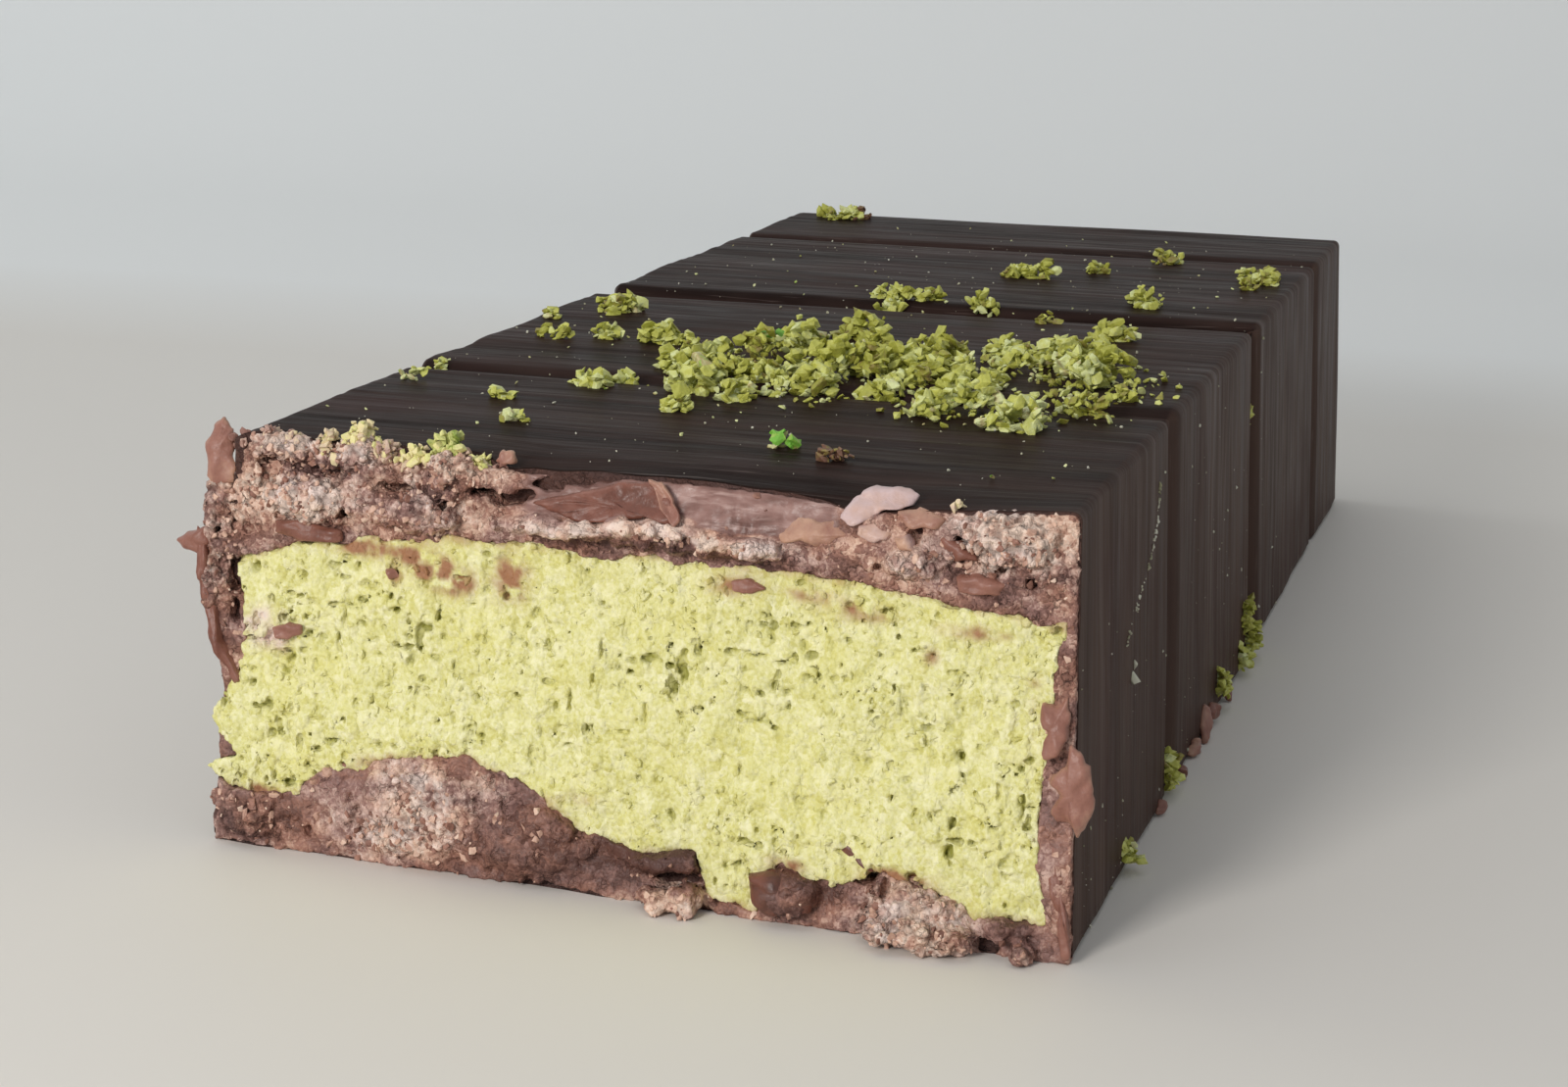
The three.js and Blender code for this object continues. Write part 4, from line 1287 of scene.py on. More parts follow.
def chip_shapes(count, seed):
    """A collection of angular chips about one millimetre across, made from random hulls."""
    rng = np.random.default_rng(seed)
    collection = bpy.data.collections.new("chip_shapes")
    for index in range(count):
        points = rng.normal(size=(CHIP_CORNERS, 3))
        points /= np.linalg.norm(points, axis=1, keepdims=True)
        points *= rng.uniform(0.7, 1.0, (CHIP_CORNERS, 1)) * np.array(CHIP_RADII)
        corners, faces = hull(points)
        mesh = bpy.data.meshes.new(f"chip_{index:02d}")
        mesh.from_pydata((corners * MM).tolist(), [], faces)
        collection.objects.link(bpy.data.objects.new(mesh.name, mesh))
    return collection


# The inputs of a scatter tree, with the defaults of those that have one.
SCATTER_INPUTS = (
    ("Ground", "NodeSocketGeometry", None), ("Chips", "NodeSocketCollection", None),
    ("Finish", "NodeSocketMaterial", None), ("Per square metre", "NodeSocketFloat", None),
    ("Smallest", "NodeSocketFloat", None), ("Largest", "NodeSocketFloat", None),
    ("Flatness", "NodeSocketFloat", 1.0), ("Tilt", "NodeSocketFloat", 3.1), ("Seed", "NodeSocketInt", None),
)
# Where a random value node has its lowest value and its result, for each kind.
RANDOM_SOCKETS = {"FLOAT_VECTOR": (0, 0), "FLOAT": (2, 1), "INT": (4, 2)}
HALF_TURN = 3.1416
# A high power makes most of the strewn chips small.
SIZE_POWER = 2.2


class Scatter(Shading):
    """Adds nodes to a geometry tree with short calls."""

    def __init__(self, tree, given):
        super().__init__(tree)
        self.given = given

    def add(self, kind, settings, **inputs):
        """A node with its settings and its inputs, where an underscore stands for a blank."""
        node = self.nodes.new(kind)
        for key, value in settings.items():
            setattr(node, key, value)
        for title, value in inputs.items():
            self.feed(node.inputs[title.replace("_", " ").title()], value)
        return node

    def named(self, title):
        """The number that each point carries under a name."""
        node = self.add("GeometryNodeInputNamedAttribute", {"data_type": "FLOAT"}, name=title)
        return node.outputs["Attribute"]

    def random(self, kind, low, high, offset):
        """A random value for each point. The offset gives each use a seed of its own."""
        first, result = RANDOM_SOCKETS[kind]
        seed = self.maths("ADD", self.given["Seed"], offset)
        node = self.add("FunctionNodeRandomValue", {"data_type": kind}, seed=seed)
        self.feed(node.inputs[first], low)
        self.feed(node.inputs[first + 1], high)
        return node.outputs[result]

    def times(self, vector, *factors):
        """A vector with each of its parts multiplied."""
        combine = self.nodes.new("ShaderNodeCombineXYZ")
        product = self.add("ShaderNodeVectorMath", {"operation": "MULTIPLY"})
        for socket, value in zip(combine.inputs, factors):
            self.feed(socket, value)
        self.feed(product.inputs[0], vector)
        self.feed(product.inputs[1], combine.outputs[0])
        return product.outputs[0]

    def strewn_points(self):
        """Points on the ground's faces, as dense as its mask says, with sizes and tints."""
        density = self.maths("MULTIPLY", self.given["Per square metre"], self.named("mask"))
        strew = self.add("GeometryNodeDistributePointsOnFaces", {"distribute_method": "RANDOM"},
                         mesh=self.given["Ground"], density=density, seed=self.given["Seed"])
        spread = self.maths("POWER", self.random("FLOAT", 0.0, 1.0, 5), SIZE_POWER)
        size = self.add("ShaderNodeMapRange", {}, value=spread, to_min=self.given["Smallest"],
                        to_max=self.given["Largest"])
        return strew.outputs["Points"], size.outputs["Result"], self.random("FLOAT", 0.0, 1.0, 4)

    def own_points(self):
        """Each vertex of the ground as a point, with the size and the tint that it carries."""
        points = self.add("GeometryNodeMeshToPoints", {}, mesh=self.given["Ground"])
        return points.outputs["Points"], self.named("size"), self.named("tint")

    def chips_on(self, points, size, tint):
        """A chip on each point, turned and sized, as real mesh with its tint and finish."""
        shape = self.times(self.random("FLOAT_VECTOR", (0.75,) * 3, (1.25,) * 3, 3),
                           1.0, 1.0, self.given["Flatness"])
        turn = self.times(self.random("FLOAT_VECTOR", (-1.0,) * 3, (1.0,) * 3, 2),
                          self.given["Tilt"], self.given["Tilt"], HALF_TURN)
        scale = self.add("ShaderNodeVectorMath", {"operation": "SCALE"}, scale=size)
        self.feed(scale.inputs[0], shape)
        chips = self.add("GeometryNodeCollectionInfo", {}, collection=self.given["Chips"],
                         separate_children=True, reset_children=True)
        place = self.add("GeometryNodeInstanceOnPoints", {}, points=points, pick_instance=True,
                         instance=chips.outputs["Instances"], rotation=turn, scale=scale.outputs[0],
                         instance_index=self.random("INT", 0, CHIP_KINDS - 1, 1))
        store = self.add("GeometryNodeStoreNamedAttribute", {"data_type": "FLOAT", "domain": "INSTANCE"},
                         geometry=place.outputs["Instances"], name="tint", value=tint)
        real = self.add("GeometryNodeRealizeInstances", {}, geometry=store.outputs["Geometry"])
        finish = self.add("GeometryNodeSetMaterial", {}, geometry=real.outputs["Geometry"],
                          material=self.given["Finish"])
        return finish.outputs["Geometry"]


def scatter_tree(name, from_faces):
    """Chips set on scattered points. Each gets its own turn, size and tint, and becomes real mesh.

    With from_faces the points are strewn over faces, as dense as the mask attribute says.
    Otherwise each vertex is a point, and its size and tint come from its attributes.
    """
    outputs = (("Chips", "NodeSocketGeometry"),)
    tree, given, result = node_group(name, "GeometryNodeTree", SCATTER_INPUTS, outputs)
    scatter = Scatter(tree, given)
    points = scatter.strewn_points() if from_faces else scatter.own_points()
    scatter.links.new(scatter.chips_on(*points), result["Chips"])
    return tree


def scattered(name, tree, ground, **values):
    """The real mesh that a scatter tree makes of a ground mesh, as an object of its own."""
    source = bpy.data.objects.new(name + "_ground", ground)
    bpy.context.scene.collection.objects.link(source)
    modifier = source.modifiers.new(name, "NODES")
    modifier.node_group = tree
    identifiers = {item.name: item.identifier for item in tree.interface.items_tree if item.in_out == "INPUT"}
    for title, value in values.items():
        modifier[identifiers[title.replace("_", " ").capitalize()]] = value
    graph = bpy.context.evaluated_depsgraph_get()
    mesh = bpy.data.meshes.new_from_object(source.evaluated_get(graph), depsgraph=graph)
    mesh.name = name
    bpy.data.objects.remove(source)
    if not len(mesh.polygons):
        raise RuntimeError(f"{name} came out empty")
    return add_object(name, mesh)


def ground_mesh(piece, mask):
    """A copy of a piece's mesh. A function of places and normals gives it a mask from 0 to 1."""
    ground = piece.data.copy()
    places = np.empty(len(ground.vertices) * 3)
    ground.vertices.foreach_get("co", places)
    normals = np.empty(len(ground.vertices) * 3)
    ground.vertex_normals.foreach_get("vector", normals)
    bar = (places.reshape(-1, 3) - np.array(ORIGIN)) / MM
    layer = ground.attributes.new("mask", "FLOAT", "POINT")
    layer.data.foreach_set("value", np.asarray(mask(bar, normals.reshape(-1, 3)), np.float32))
    return ground


def torn_mask(places, normals):
    """Chips lie in clumps on the crumbly parts of the torn chocolate that face the knife."""
    x, y, z = places.T
    depth = y - cut_plane(x, z)
    facing = fade(-normals[:, 1], 0.1, 0.6) * (1 - fade(depth, 0.9, 1.6))
    clumps = fade(noise3(places, 1.1, 81), -0.25, 0.45)
    return facing * (0.04 + crumble(x, z) ** 1.5 * (0.15 + 0.85 * clumps))


def paste_mask(places, normals):
    """Granules lie in loose patches on the filling's face."""
    x, y, z = places.T
    depth = y - cut_plane(x, z)
    facing = fade(-normals[:, 1], 0.2, 0.7) * (1 - fade(depth, 0.3, 0.8))
    return facing * fade(noise3(places, 2.5, 82), -0.6, 0.5)


# ---- Chopped pistachio ----


def draw_crumb(group, index, source):
    """One crumb of a group: its two places, full size, depth, height, spin and rise in the pile."""
    a, b, spread_a, spread_b, count, size = group
    turn = next(source) * math.pi * 2
    reach = math.sqrt(next(source))
    full = size * (1 - 0.55 * (index / count)) * (0.85 + 0.3 * next(source))
    deep = full * (0.6 + 0.4 * next(source))
    tall = full * (0.5 + 0.35 * next(source))
    for _ in range(CORNER_DRAWS):
        next(source)
    spin = next(source) * math.pi * 2
    pile = HEAP_PILE * (1 - reach) * next(source) if count >= HEAP_COUNT else 0
    first = a + spread_a * reach * math.cos(turn)
    second = b + spread_b * reach * math.sin(turn)
    return first, second, full, deep, tall, spin, pile


def top_crumb(across, back, full, deep, tall, spin, pile):
    """A crumb on the top: its middle, full size in three directions, spin and no wall."""
    edge = WIDTH / 2 - EDGE_RADIUS
    across = min(max(across, -edge), edge)
    ground = HEIGHT - float(moulding(np.array(back)))
    return (across, back, ground + full * CRUMB_LIFT + pile), (full, deep, tall), spin, None


def side_crumb(back, up, full, deep, tall, spin, _pile):
    """A crumb on the right side, in the same way, with the place of the wall under it."""
    height = max(up, full * 0.36)
    wall = float(side_wall(np.array(back), height))
    return (wall + full * CRUMB_LIFT, back, height), (tall, deep, full), spin, wall


def crumb_places():
    """Every large crumb of the part, in the order of the part's own random draws."""
    crumbs = []
    for groups, seed, placing in ((TOP_CRUMBS, TOP_SEED, top_crumb), (SIDE_CRUMBS, SIDE_SEED, side_crumb)):
        source = random_source(seed)
        for group in groups:
            crumbs.extend(placing(*draw_crumb(group, i, source)) for i in range(group[4]))
    return crumbs


# Crumbs of other tones: the bright green one, the brown ones and the brown far end of a clump, with
# the tints that they get. Clumps nearer than the heap are paler.
GREEN_CRUMB = (4.9, 12.2)
GREEN_TINT = 0.95
BROWN_CRUMB = (8.0, 9.8)
BROWN_CORNER = (-16.8, 90.0)
BROWN_TINT = -0.1
HEAP_FRONT = 25.5
USUAL_TINTS = (0.16, 0.84)


def nut_tone(middle, wall, rng):
    """Whether a clump is olive, pale, bright green or brown: it depends on where it lies."""
    across, back = middle[:2]
    if wall is not None:
        return rng.uniform(0.22, 0.62)
    if math.dist((across, back), GREEN_CRUMB) < 1.2:
        return GREEN_TINT
    if math.dist((across, back), BROWN_CRUMB) < 2 or (across > BROWN_CORNER[0] and back > BROWN_CORNER[1]):
        return BROWN_TINT
    if back < HEAP_FRONT:
        return rng.uniform(0.45, 0.72)
    return rng.uniform(0.22, 0.62)


def cluster_points(rng):
    """Places, sizes and tints of the chips that the clumps of chopped nut are built of."""
    places, sizes, tints = [], [], []
    for middle, size, spin, wall in crumb_places():
        full = max(size)
        amount = int(5 + 5.4 * full ** 1.75)
        tone = nut_tone(middle, wall, rng)
        directions = rng.normal(size=(amount, 3))
        directions /= np.linalg.norm(directions, axis=1, keepdims=True)
        reach = rng.uniform(0.2, 1.0, (amount, 1)) ** 0.5
        local = directions * reach * np.array(size) * 0.5
        if wall is None:
            turned = np.array(Matrix.Rotation(spin, 3, "Z")) @ local.T
            place = turned.T + np.array(middle)
            place[:, 2] = np.maximum(place[:, 2], HEIGHT - moulding(place[:, 1]) - 0.02)
        else:
            place = local + np.array(middle)
            place[:, 0] = np.maximum(place[:, 0], wall)
            place[:, 2] = np.maximum(place[:, 2], 0.3)
        chip = rng.uniform(0.45, 1.6, amount) * min(1.0, 0.4 + 0.21 * full)
        places.append(place)
        sizes.append(chip)
        lowest = 0.0 if tone == BROWN_TINT else USUAL_TINTS[0]
        highest = 1.0 if tone == GREEN_TINT else USUAL_TINTS[1]
        tints.append(np.clip(tone + rng.normal(0, 0.12, amount), lowest, highest))
    return np.concatenate(places), np.concatenate(sizes), np.concatenate(tints)


# Chips that stand out of the heap: [across, along, up, size, tint].
SINGLES = ((-4.6, 27.4, 22.1, 2.1, 0.87), (-2.6, 33.6, 22.8, 1.3, 1.0), (-2.1, 34.0, 22.9, 0.8, 1.0),
           (6.9, 25.6, 21.9, 1.7, 0.72), (12.4, 24.6, 21.7, 1.8, 0.74), (9.8, 23.4, 21.5, 1.5, 0.78))


HEAP_STRAYS = 800
TOP_STRAYS = 90
# The two ovals that the heap's loose chips lie in: middle across and along, reach across.
HEAP_OVALS = ((0.0, 34.0, 8.8), (12.3, 32.5, 8.2))
HEAP_REACH = 11.8


def stray_points(rng):
    """Small loose chips: many round the heap and in it, and some anywhere on the top."""
    turn = rng.uniform(0, 2 * math.pi, HEAP_STRAYS)
    reach = np.sqrt(rng.uniform(0, 1, HEAP_STRAYS)) * rng.choice((1.0, 1.14), HEAP_STRAYS, p=(0.8, 0.2))
    left = rng.random(HEAP_STRAYS) < 0.55
    middle, back, wide = np.where(left, *np.array(HEAP_OVALS)[:, :, None])
    x = middle + wide * reach * np.cos(turn)
    y = back + HEAP_REACH * reach * np.sin(turn)
    keep = x < WIDTH / 2 - EDGE_RADIUS
    lift = rng.uniform(0, 0.9, HEAP_STRAYS) * np.clip(1 - reach, 0, 1)
    x = np.concatenate((x[keep], rng.uniform(-21, 21, TOP_STRAYS)))
    y = np.concatenate((y[keep], rng.uniform(8, 100, TOP_STRAYS)))
    lift = np.concatenate((lift[keep], np.zeros(TOP_STRAYS)))
    sizes = np.concatenate((rng.uniform(0.25, 0.8, keep.sum()), rng.uniform(0.15, 0.4, TOP_STRAYS)))
    tints = np.concatenate((rng.uniform(0.15, 0.8, keep.sum()), rng.uniform(0.68, 0.9, TOP_STRAYS)))
    z = HEIGHT - moulding(y) + sizes * 0.15 + lift
    singles = np.array(SINGLES)
    return (np.concatenate((np.stack((x, y, z), 1), singles[:, :3])),
            np.concatenate((sizes, singles[:, 3])), np.concatenate((tints, singles[:, 4])))


def points_mesh(name, places, sizes, tints):
    """Loose vertices that carry the size and the tint of the chip to be set on each."""
    mesh = bpy.data.meshes.new(name)
    mesh.from_pydata(to_frame(places).tolist(), [], [])
    for key, values in (("size", sizes), ("tint", tints)):
        layer = mesh.attributes.new(key, "FLOAT", "POINT")
        layer.data.foreach_set("value", np.asarray(values, np.float32))
    return mesh


# ---- Dust and scuffs on the skin, and a painted highlight ----
# A scuff on the right side, as places along and up. The pale dust along it is a painted highlight, partly a
# real scuff.
SCUFF_HIGHLIGHT_LINE = ((23.3, 18.2), (22.4, 16.2), (20.4, 14.6), (17.9, 13.7), (15.6, 12.6), (13.9, 11.7))
# Two pale specks under it: along, up, size.
SPECKS = ((15.6, 9.6, 1.0), (16.2, 10.1, 0.6))
TOP_DUST = 380
SIDE_DUST = 170
SCUFF_HIGHLIGHT_DUST = 70


def on_side(y, z):
    """Points on the right side, at places along and up."""
    return np.stack((side_wall(y, z), y, z), 1)


def dust_points(rng):
    """Fine dust on the top and the right side, and a line of it along the scuff that is a painted highlight.
    """
    x, y = rng.uniform(-21.5, 21.5, TOP_DUST), rng.uniform(3, 95, TOP_DUST)
    top = np.stack((x, y, HEIGHT - moulding(y) + 0.02), 1)
    y = rng.uniform(2, 70, SIDE_DUST)
    side = on_side(y, HEIGHT * rng.uniform(0, 1, SIDE_DUST) ** 1.4 * 0.95 + 0.3)
    line = np.array(SCUFF_HIGHLIGHT_LINE)
    place = rng.uniform(0, 1, SCUFF_HIGHLIGHT_DUST) ** 1.5 * (len(line) - 1)
    y = np.interp(place, np.arange(len(line)), line[:, 0]) + rng.normal(0, 0.12, SCUFF_HIGHLIGHT_DUST)
    z = np.interp(place, np.arange(len(line)), line[:, 1]) + rng.normal(0, 0.12, SCUFF_HIGHLIGHT_DUST)
    specks = np.array(SPECKS)
    places = np.concatenate((top, side, on_side(y, z), on_side(specks[:, 0], specks[:, 1])))
    sizes = 0.07 + 0.28 * rng.uniform(0, 1, len(places)) ** 4
    first_speck = len(places) - len(specks)
    sizes[first_speck - SCUFF_HIGHLIGHT_DUST:first_speck] = rng.uniform(0.12, 0.4, SCUFF_HIGHLIGHT_DUST)
    sizes[first_speck:] = specks[:, 2]
    return places, sizes, rng.uniform(0, 1, len(places))


# ---- Flakes ----
# Torn flakes on the cut: [tint, depth, thickness, lean back, bow, corners across and up].
FLAKES = (
    (0.22, 0.3, 0.7, 0.4, -0.2, ((-5.4, 19.0), (-4.0, 19.4), (-2.4, 19.8), (-0.9, 20.2), (0.8, 20.5),
                                 (1.8, 19.9), (2.3, 19.0), (2.1, 18.6), (0.9, 18.9), (-0.5, 18.6),
                                 (-2.8, 18.3), (-4.4, 18.7))),
    (0.5, 0.1, 0.4, 0.3, -0.3, ((0.6, 20.6), (1.3, 20.5), (2.0, 19.7), (2.5, 18.9), (2.2, 18.6),
                                 (1.6, 19.3))),
    (0.94, 0.6, 0.8, 0.9, 0.1, ((10.5, 19.8), (10.8, 20.6), (11.7, 21.0), (13.0, 21.2), (14.0, 20.9),
                               (13.9, 20.4), (12.6, 20.2), (11.3, 19.4))),
    (0.64, 0.14, 0.6, 0.2, 0.2, ((6.9, 18.6), (7.6, 18.9), (8.3, 19.5), (9.3, 19.3), (10.3, 19.6),
                                 (11.1, 18.9), (10.3, 18.6), (9.5, 18.1), (8.5, 18.4), (7.6, 18.2))),
    (0.84, 0.0, 0.9, 0.2, 0.1, ((11.4, 19.5), (12.3, 19.7), (13.1, 19.3), (13.0, 18.9), (12.0, 18.8),
                                (11.3, 19.1))),
    (0.78, -0.1, 0.8, 0.1, 0.1, ((13.2, 19.1), (13.9, 19.3), (14.3, 18.6), (13.6, 18.4))),
    (0.55, 0.1, 1.0, 0.2, 0.1, ((13.1, 20.2), (14.4, 20.5), (15.6, 20.1), (15.3, 19.6), (14.0, 19.5))),
    (0.28, -0.4, 0.5, 0.1, 0.1, ((-19.5, 16.9), (-17.9, 17.0), (-15.7, 16.7), (-15.7, 16.1),
                                 (-17.9, 15.9), (-19.4, 16.3))),
    (0.18, 0.2, 0.6, 0.3, 0.1, ((10.6, 4.6), (11.4, 4.5), (13.0, 3.4), (12.9, 3.0), (11.6, 3.6),
                                (10.7, 4.2))),
    (0.12, -0.2, 1.5, 0.1, 0.1, ((6.8, 2.3), (8.5, 2.7), (9.6, 2.3), (10.1, 1.5), (10.0, 0.7),
                                 (7.7, 0.4), (6.9, 1.3))),
    (0.4, -0.4, 0.5, 0.1, 0.15, ((20.8, 12.1), (21.4, 12.1), (21.9, 12.6), (22.1, 11.7), (22.2, 10.6),
                                 (21.7, 9.9), (21.0, 9.6), (20.9, 10.3), (21.1, 10.8), (20.7, 11.2))),
    (0.46, -0.7, 0.4, -0.05, 0.25, ((22.2, 10.5), (22.8, 10.3), (23.2, 9.4), (23.5, 7.9), (23.2, 6.8),
                                    (22.8, 5.9), (22.5, 6.6), (21.7, 6.8), (21.5, 7.4), (21.9, 8.0),
                                    (21.3, 8.6), (21.5, 9.1), (22.1, 9.3))),
    (0.34, -0.1, 0.5, 0.05, 0.1, ((21.6, 6.1), (22.0, 6.1), (22.0, 4.8), (22.3, 3.3), (22.6, 1.9),
                                  (22.8, 0.4), (22.4, 0.1), (22.1, 1.3), (21.8, 2.8), (21.4, 4.2))),
    (0.5, 0.1, 0.5, 0.15, 0.3, ((-23.0, 21.7), (-22.6, 21.3), (-22.3, 20.6), (-22.1, 19.6), (-22.0, 18.4),
                                (-23.1, 18.2), (-23.6, 19.0), (-23.8, 20.0), (-23.6, 21.2))),
    (0.36, 0.0, 0.8, 0.0, 0.2, ((-25.3, 15.3), (-24.6, 15.8), (-23.5, 16.2), (-23.2, 15.4),
                                (-23.9, 14.6), (-24.7, 14.9))),
    (0.3, -0.1, 0.6, 0.0, 0.1, ((-24.1, 16.2), (-23.5, 15.4), (-23.1, 13.6), (-22.9, 12.0),
                                (-23.5, 11.8), (-23.9, 13.6))),
    (0.26, -0.1, 0.6, 0.0, 0.1, ((-23.5, 12.3), (-22.9, 12.3), (-22.5, 10.8), (-21.3, 8.5),
                                 (-21.7, 8.2), (-23.0, 10.4))),
    (0.42, -0.25, 0.5, 0.0, 0.1, ((-19.5, 11.4), (-18.6, 11.8), (-17.8, 11.7), (-17.8, 11.2),
                                  (-19.1, 10.9))),
    (0.5, -0.15, 0.3, 0.0, 0.1, ((-13.3, 15.0), (-12.7, 15.1), (-12.4, 14.7), (-12.9, 14.4))),
    (0.5, 0.7, 0.6, 0.1, 0.1, ((-7.8, 20.6), (-7.5, 21.3), (-6.8, 21.2), (-6.7, 20.6))),
    (0.3, 0.1, 0.6, 0.2, 0.1, ((15.4, 19.3), (16.4, 19.1), (17.3, 18.4), (16.4, 18.2), (15.4, 18.5))),
    (0.4, -0.1, 0.5, 0.1, 0.1, ((16.2, 17.6), (17.6, 17.8), (18.7, 17.4), (18.4, 16.8), (16.6, 16.8))),
    (0.42, -0.1, 0.4, 0.0, 0.1, ((5.0, 16.2), (6.0, 16.4), (6.9, 16.0), (6.2, 15.6), (5.2, 15.7))),
    (0.24, -0.15, 0.5, 0.0, 0.1, ((17.9, 1.3), (19.2, 1.7), (20.6, 1.6), (20.6, 0.9), (19.0, 1.0))),
)
# Broken bits that lie at the foot of the right side: [along, up, long, tall, turn, tint].
FOOT_BITS = (
    (37.5, 0.9, 2.6, 1.3, 35, 0.42), (40.8, 0.8, 1.6, 1.0, -20, 0.3), (34.2, 0.5, 1.8, 0.7, 10, 0.5),
    (29.6, 0.5, 1.4, 0.7, -30, 0.25), (23.0, 0.35, 1.2, 0.5, 15, 0.35), (46.0, 0.6, 1.5, 0.8, 40, 0.3),
)
BIT_CORNERS = ((-0.5, -0.1), (-0.2, 0.4), (0.4, 0.5), (0.5, 0.0), (0.2, -0.5), (-0.3, -0.4))
BIT_THICKNESS = 0.7
BIT_BOW = 0.1
# A flake has a rim, then rings of these shares of its outline on its front and again on its back.
FLAKE_SHARES = (0.96, 0.86, 0.68, 0.44, 0.2)
FRONT_CAP = 5
BACK_CAP = 10
# Rings that are joined, and whether the faces between them are turned.
FLAKE_STRIPS = ((0, 1, False), (0, FRONT_CAP + 1, True), *((k, k + 1, False) for k in range(1, FRONT_CAP)),
                *((k, k + 1, True) for k in range(FRONT_CAP + 1, BACK_CAP)))


def torn_outline(corners, shift):
    """A closed outline with slightly blunted corners and a ragged run between them."""
    ring = np.array(corners, float)
    after = np.roll(ring, -1, axis=0)
    steps = np.linspace(0.1, 0.9, 6)[:, None, None]
    ring = (ring * (1 - steps) + after * steps).transpose(1, 0, 2).reshape(-1, 2)
    placed = np.concatenate((ring, np.full((len(ring), 1), shift)), 1)
    out = ring - ring.mean(0)
    ragged = 0.13 * noise3(placed, 0.55, 95) + 0.08 * noise3(placed, 0.25, 96)
    return ring + out / np.linalg.norm(out, axis=1, keepdims=True) * ragged[:, None]


def flake(corners, depth, thick, lean, bow, shift):
    """A closed flake inside an outline: its points, its faces, and its nearness to the rim, for a painted
    highlight.
    """
    ring = torn_outline(corners, shift)
    middle = ring.mean(0)
    away = ring - middle
    count = len(ring)
    levels = [(1.0, 0)]
    levels += [(share, side) for side in (-1, 1) for share in FLAKE_SHARES]
    points, rim_highlights = [], []
    for share, side in levels:
        dome = side * (1 - share ** 9) ** 0.6 * thick / 2
        across, up = (middle + away * share).T
        back = depth + lean * (up - middle[1]) + bow * share ** 2 + dome
        points.append(np.stack((across, back, up), 1))
        rim_highlights.append(np.full(count, share ** 8))
    points = np.concatenate(points)
    rough = 0.22 * noise3(points + shift, 0.9, 91) + 0.17 * noise3(points + shift, 0.42, 92)
    ridges = 0.1 - 0.2 * np.abs(noise3(points + shift, (1.6, 1.6, 0.7), 97))
    points[:, 1] += rough + ridges
    faces = []
    for first, second, turned in FLAKE_STRIPS:
        for i in range(count):
            j = (i + 1) % count
            face = (first * count + i, first * count + j, second * count + j, second * count + i)
            faces.append(face[::-1] if turned else face)
    for last in (FRONT_CAP, BACK_CAP):
        cap = [last * count + i for i in range(count)]
        faces.append(cap if last == FRONT_CAP else cap[::-1])
    return points, faces, np.concatenate(rim_highlights)


def foot_bit(y, up, long, tall, turn, shift):
    """A broken bit against the foot of the right side: its points, its faces and its rim, for a painted
    highlight.
    """
    points, faces, rim_highlight = flake(np.array(BIT_CORNERS) * (long, tall), 0, BIT_THICKNESS, 0, BIT_BOW, shift)
    angle = math.radians(turn)
    along_way, depth, up_way = points.T
    wall = float(side_wall(np.array(y), up))
    placed = np.stack((wall + 0.3 - depth * 0.8,
                       y + along_way * math.cos(angle) - up_way * math.sin(angle),
                       up + along_way * math.sin(angle) + up_way * math.cos(angle)), 1)
    return placed, faces, rim_highlight


def chocolate_flakes(material):
    """All the flakes on the cut and the bits at the foot of the right side, as one piece."""
    all_points, all_faces, tints = [], [], []

    def gather(points, faces, tint):
        start = sum(len(part) for part in all_points)
        all_points.append(points)
        all_faces.extend([tuple(corner + start for corner in face) for face in faces])
        tints.append(np.clip(tint, 0, 1))

    for index, (tint, depth, thick, lean, bow, corners) in enumerate(FLAKES):
        points, faces, rim_highlight = flake(corners, depth, thick, lean, bow, index * 1.7)
        points[:, 2] = np.maximum(points[:, 2], 0.0)
        # Rims are made paler: a painted highlight.
        gather(to_bar(points), faces, tint + 0.14 * rim_highlight + 0.08 * noise3(points, 1.2, 94))
    for index, (y, up, long, tall, turn, tint) in enumerate(FOOT_BITS):
        points, faces, rim_highlight = foot_bit(y, up, long, tall, turn, index * 2.3)
        points[:, 2] = np.maximum(points[:, 2], 0.0)
        gather(points, faces, tint + 0.14 * rim_highlight)
    piece = make_piece("chocolate_flakes", np.concatenate(all_points), all_faces, [material],
                       {"tint": np.concatenate(tints)})
    outward(piece)
    return piece


def outward(piece):
    """Turns every face of a piece to point out."""
    shape = bmesh.new()
    shape.from_mesh(piece.data)
    bmesh.ops.recalc_face_normals(shape, faces=shape.faces)
    shape.to_mesh(piece.data)
    shape.free()


# ---- Crumbs that stand over the top edge of the cut ----
# Each tuft: [across, top, wide, tint]. A low tint is chocolate, a middle one cream, a high one green.
TUFTS = (
    (-21.8, 21.1, 1.3, 0.12), (-20.4, 21.5, 1.3, 0.3), (-18.9, 21.4, 0.9, 0.35), (-17.0, 21.6, 1.3, 0.5),
    (-15.2, 22.2, 1.9, 0.62), (-13.7, 21.3, 1.5, 0.35), (-12.2, 21.4, 1.5, 0.68), (-10.5, 21.9, 2.0, 0.74),
    (-9.9, 22.1, 0.8, 0.95), (-8.7, 21.0, 1.5, 0.68), (-7.4, 20.9, 0.8, 0.1), (16.0, 21.1, 0.5, 0.45),
    (-19.6, 20.9, 2.2, 0.25), (-14.4, 20.9, 2.6, 0.3), (-11.4, 20.8, 2.4, 0.4),
)


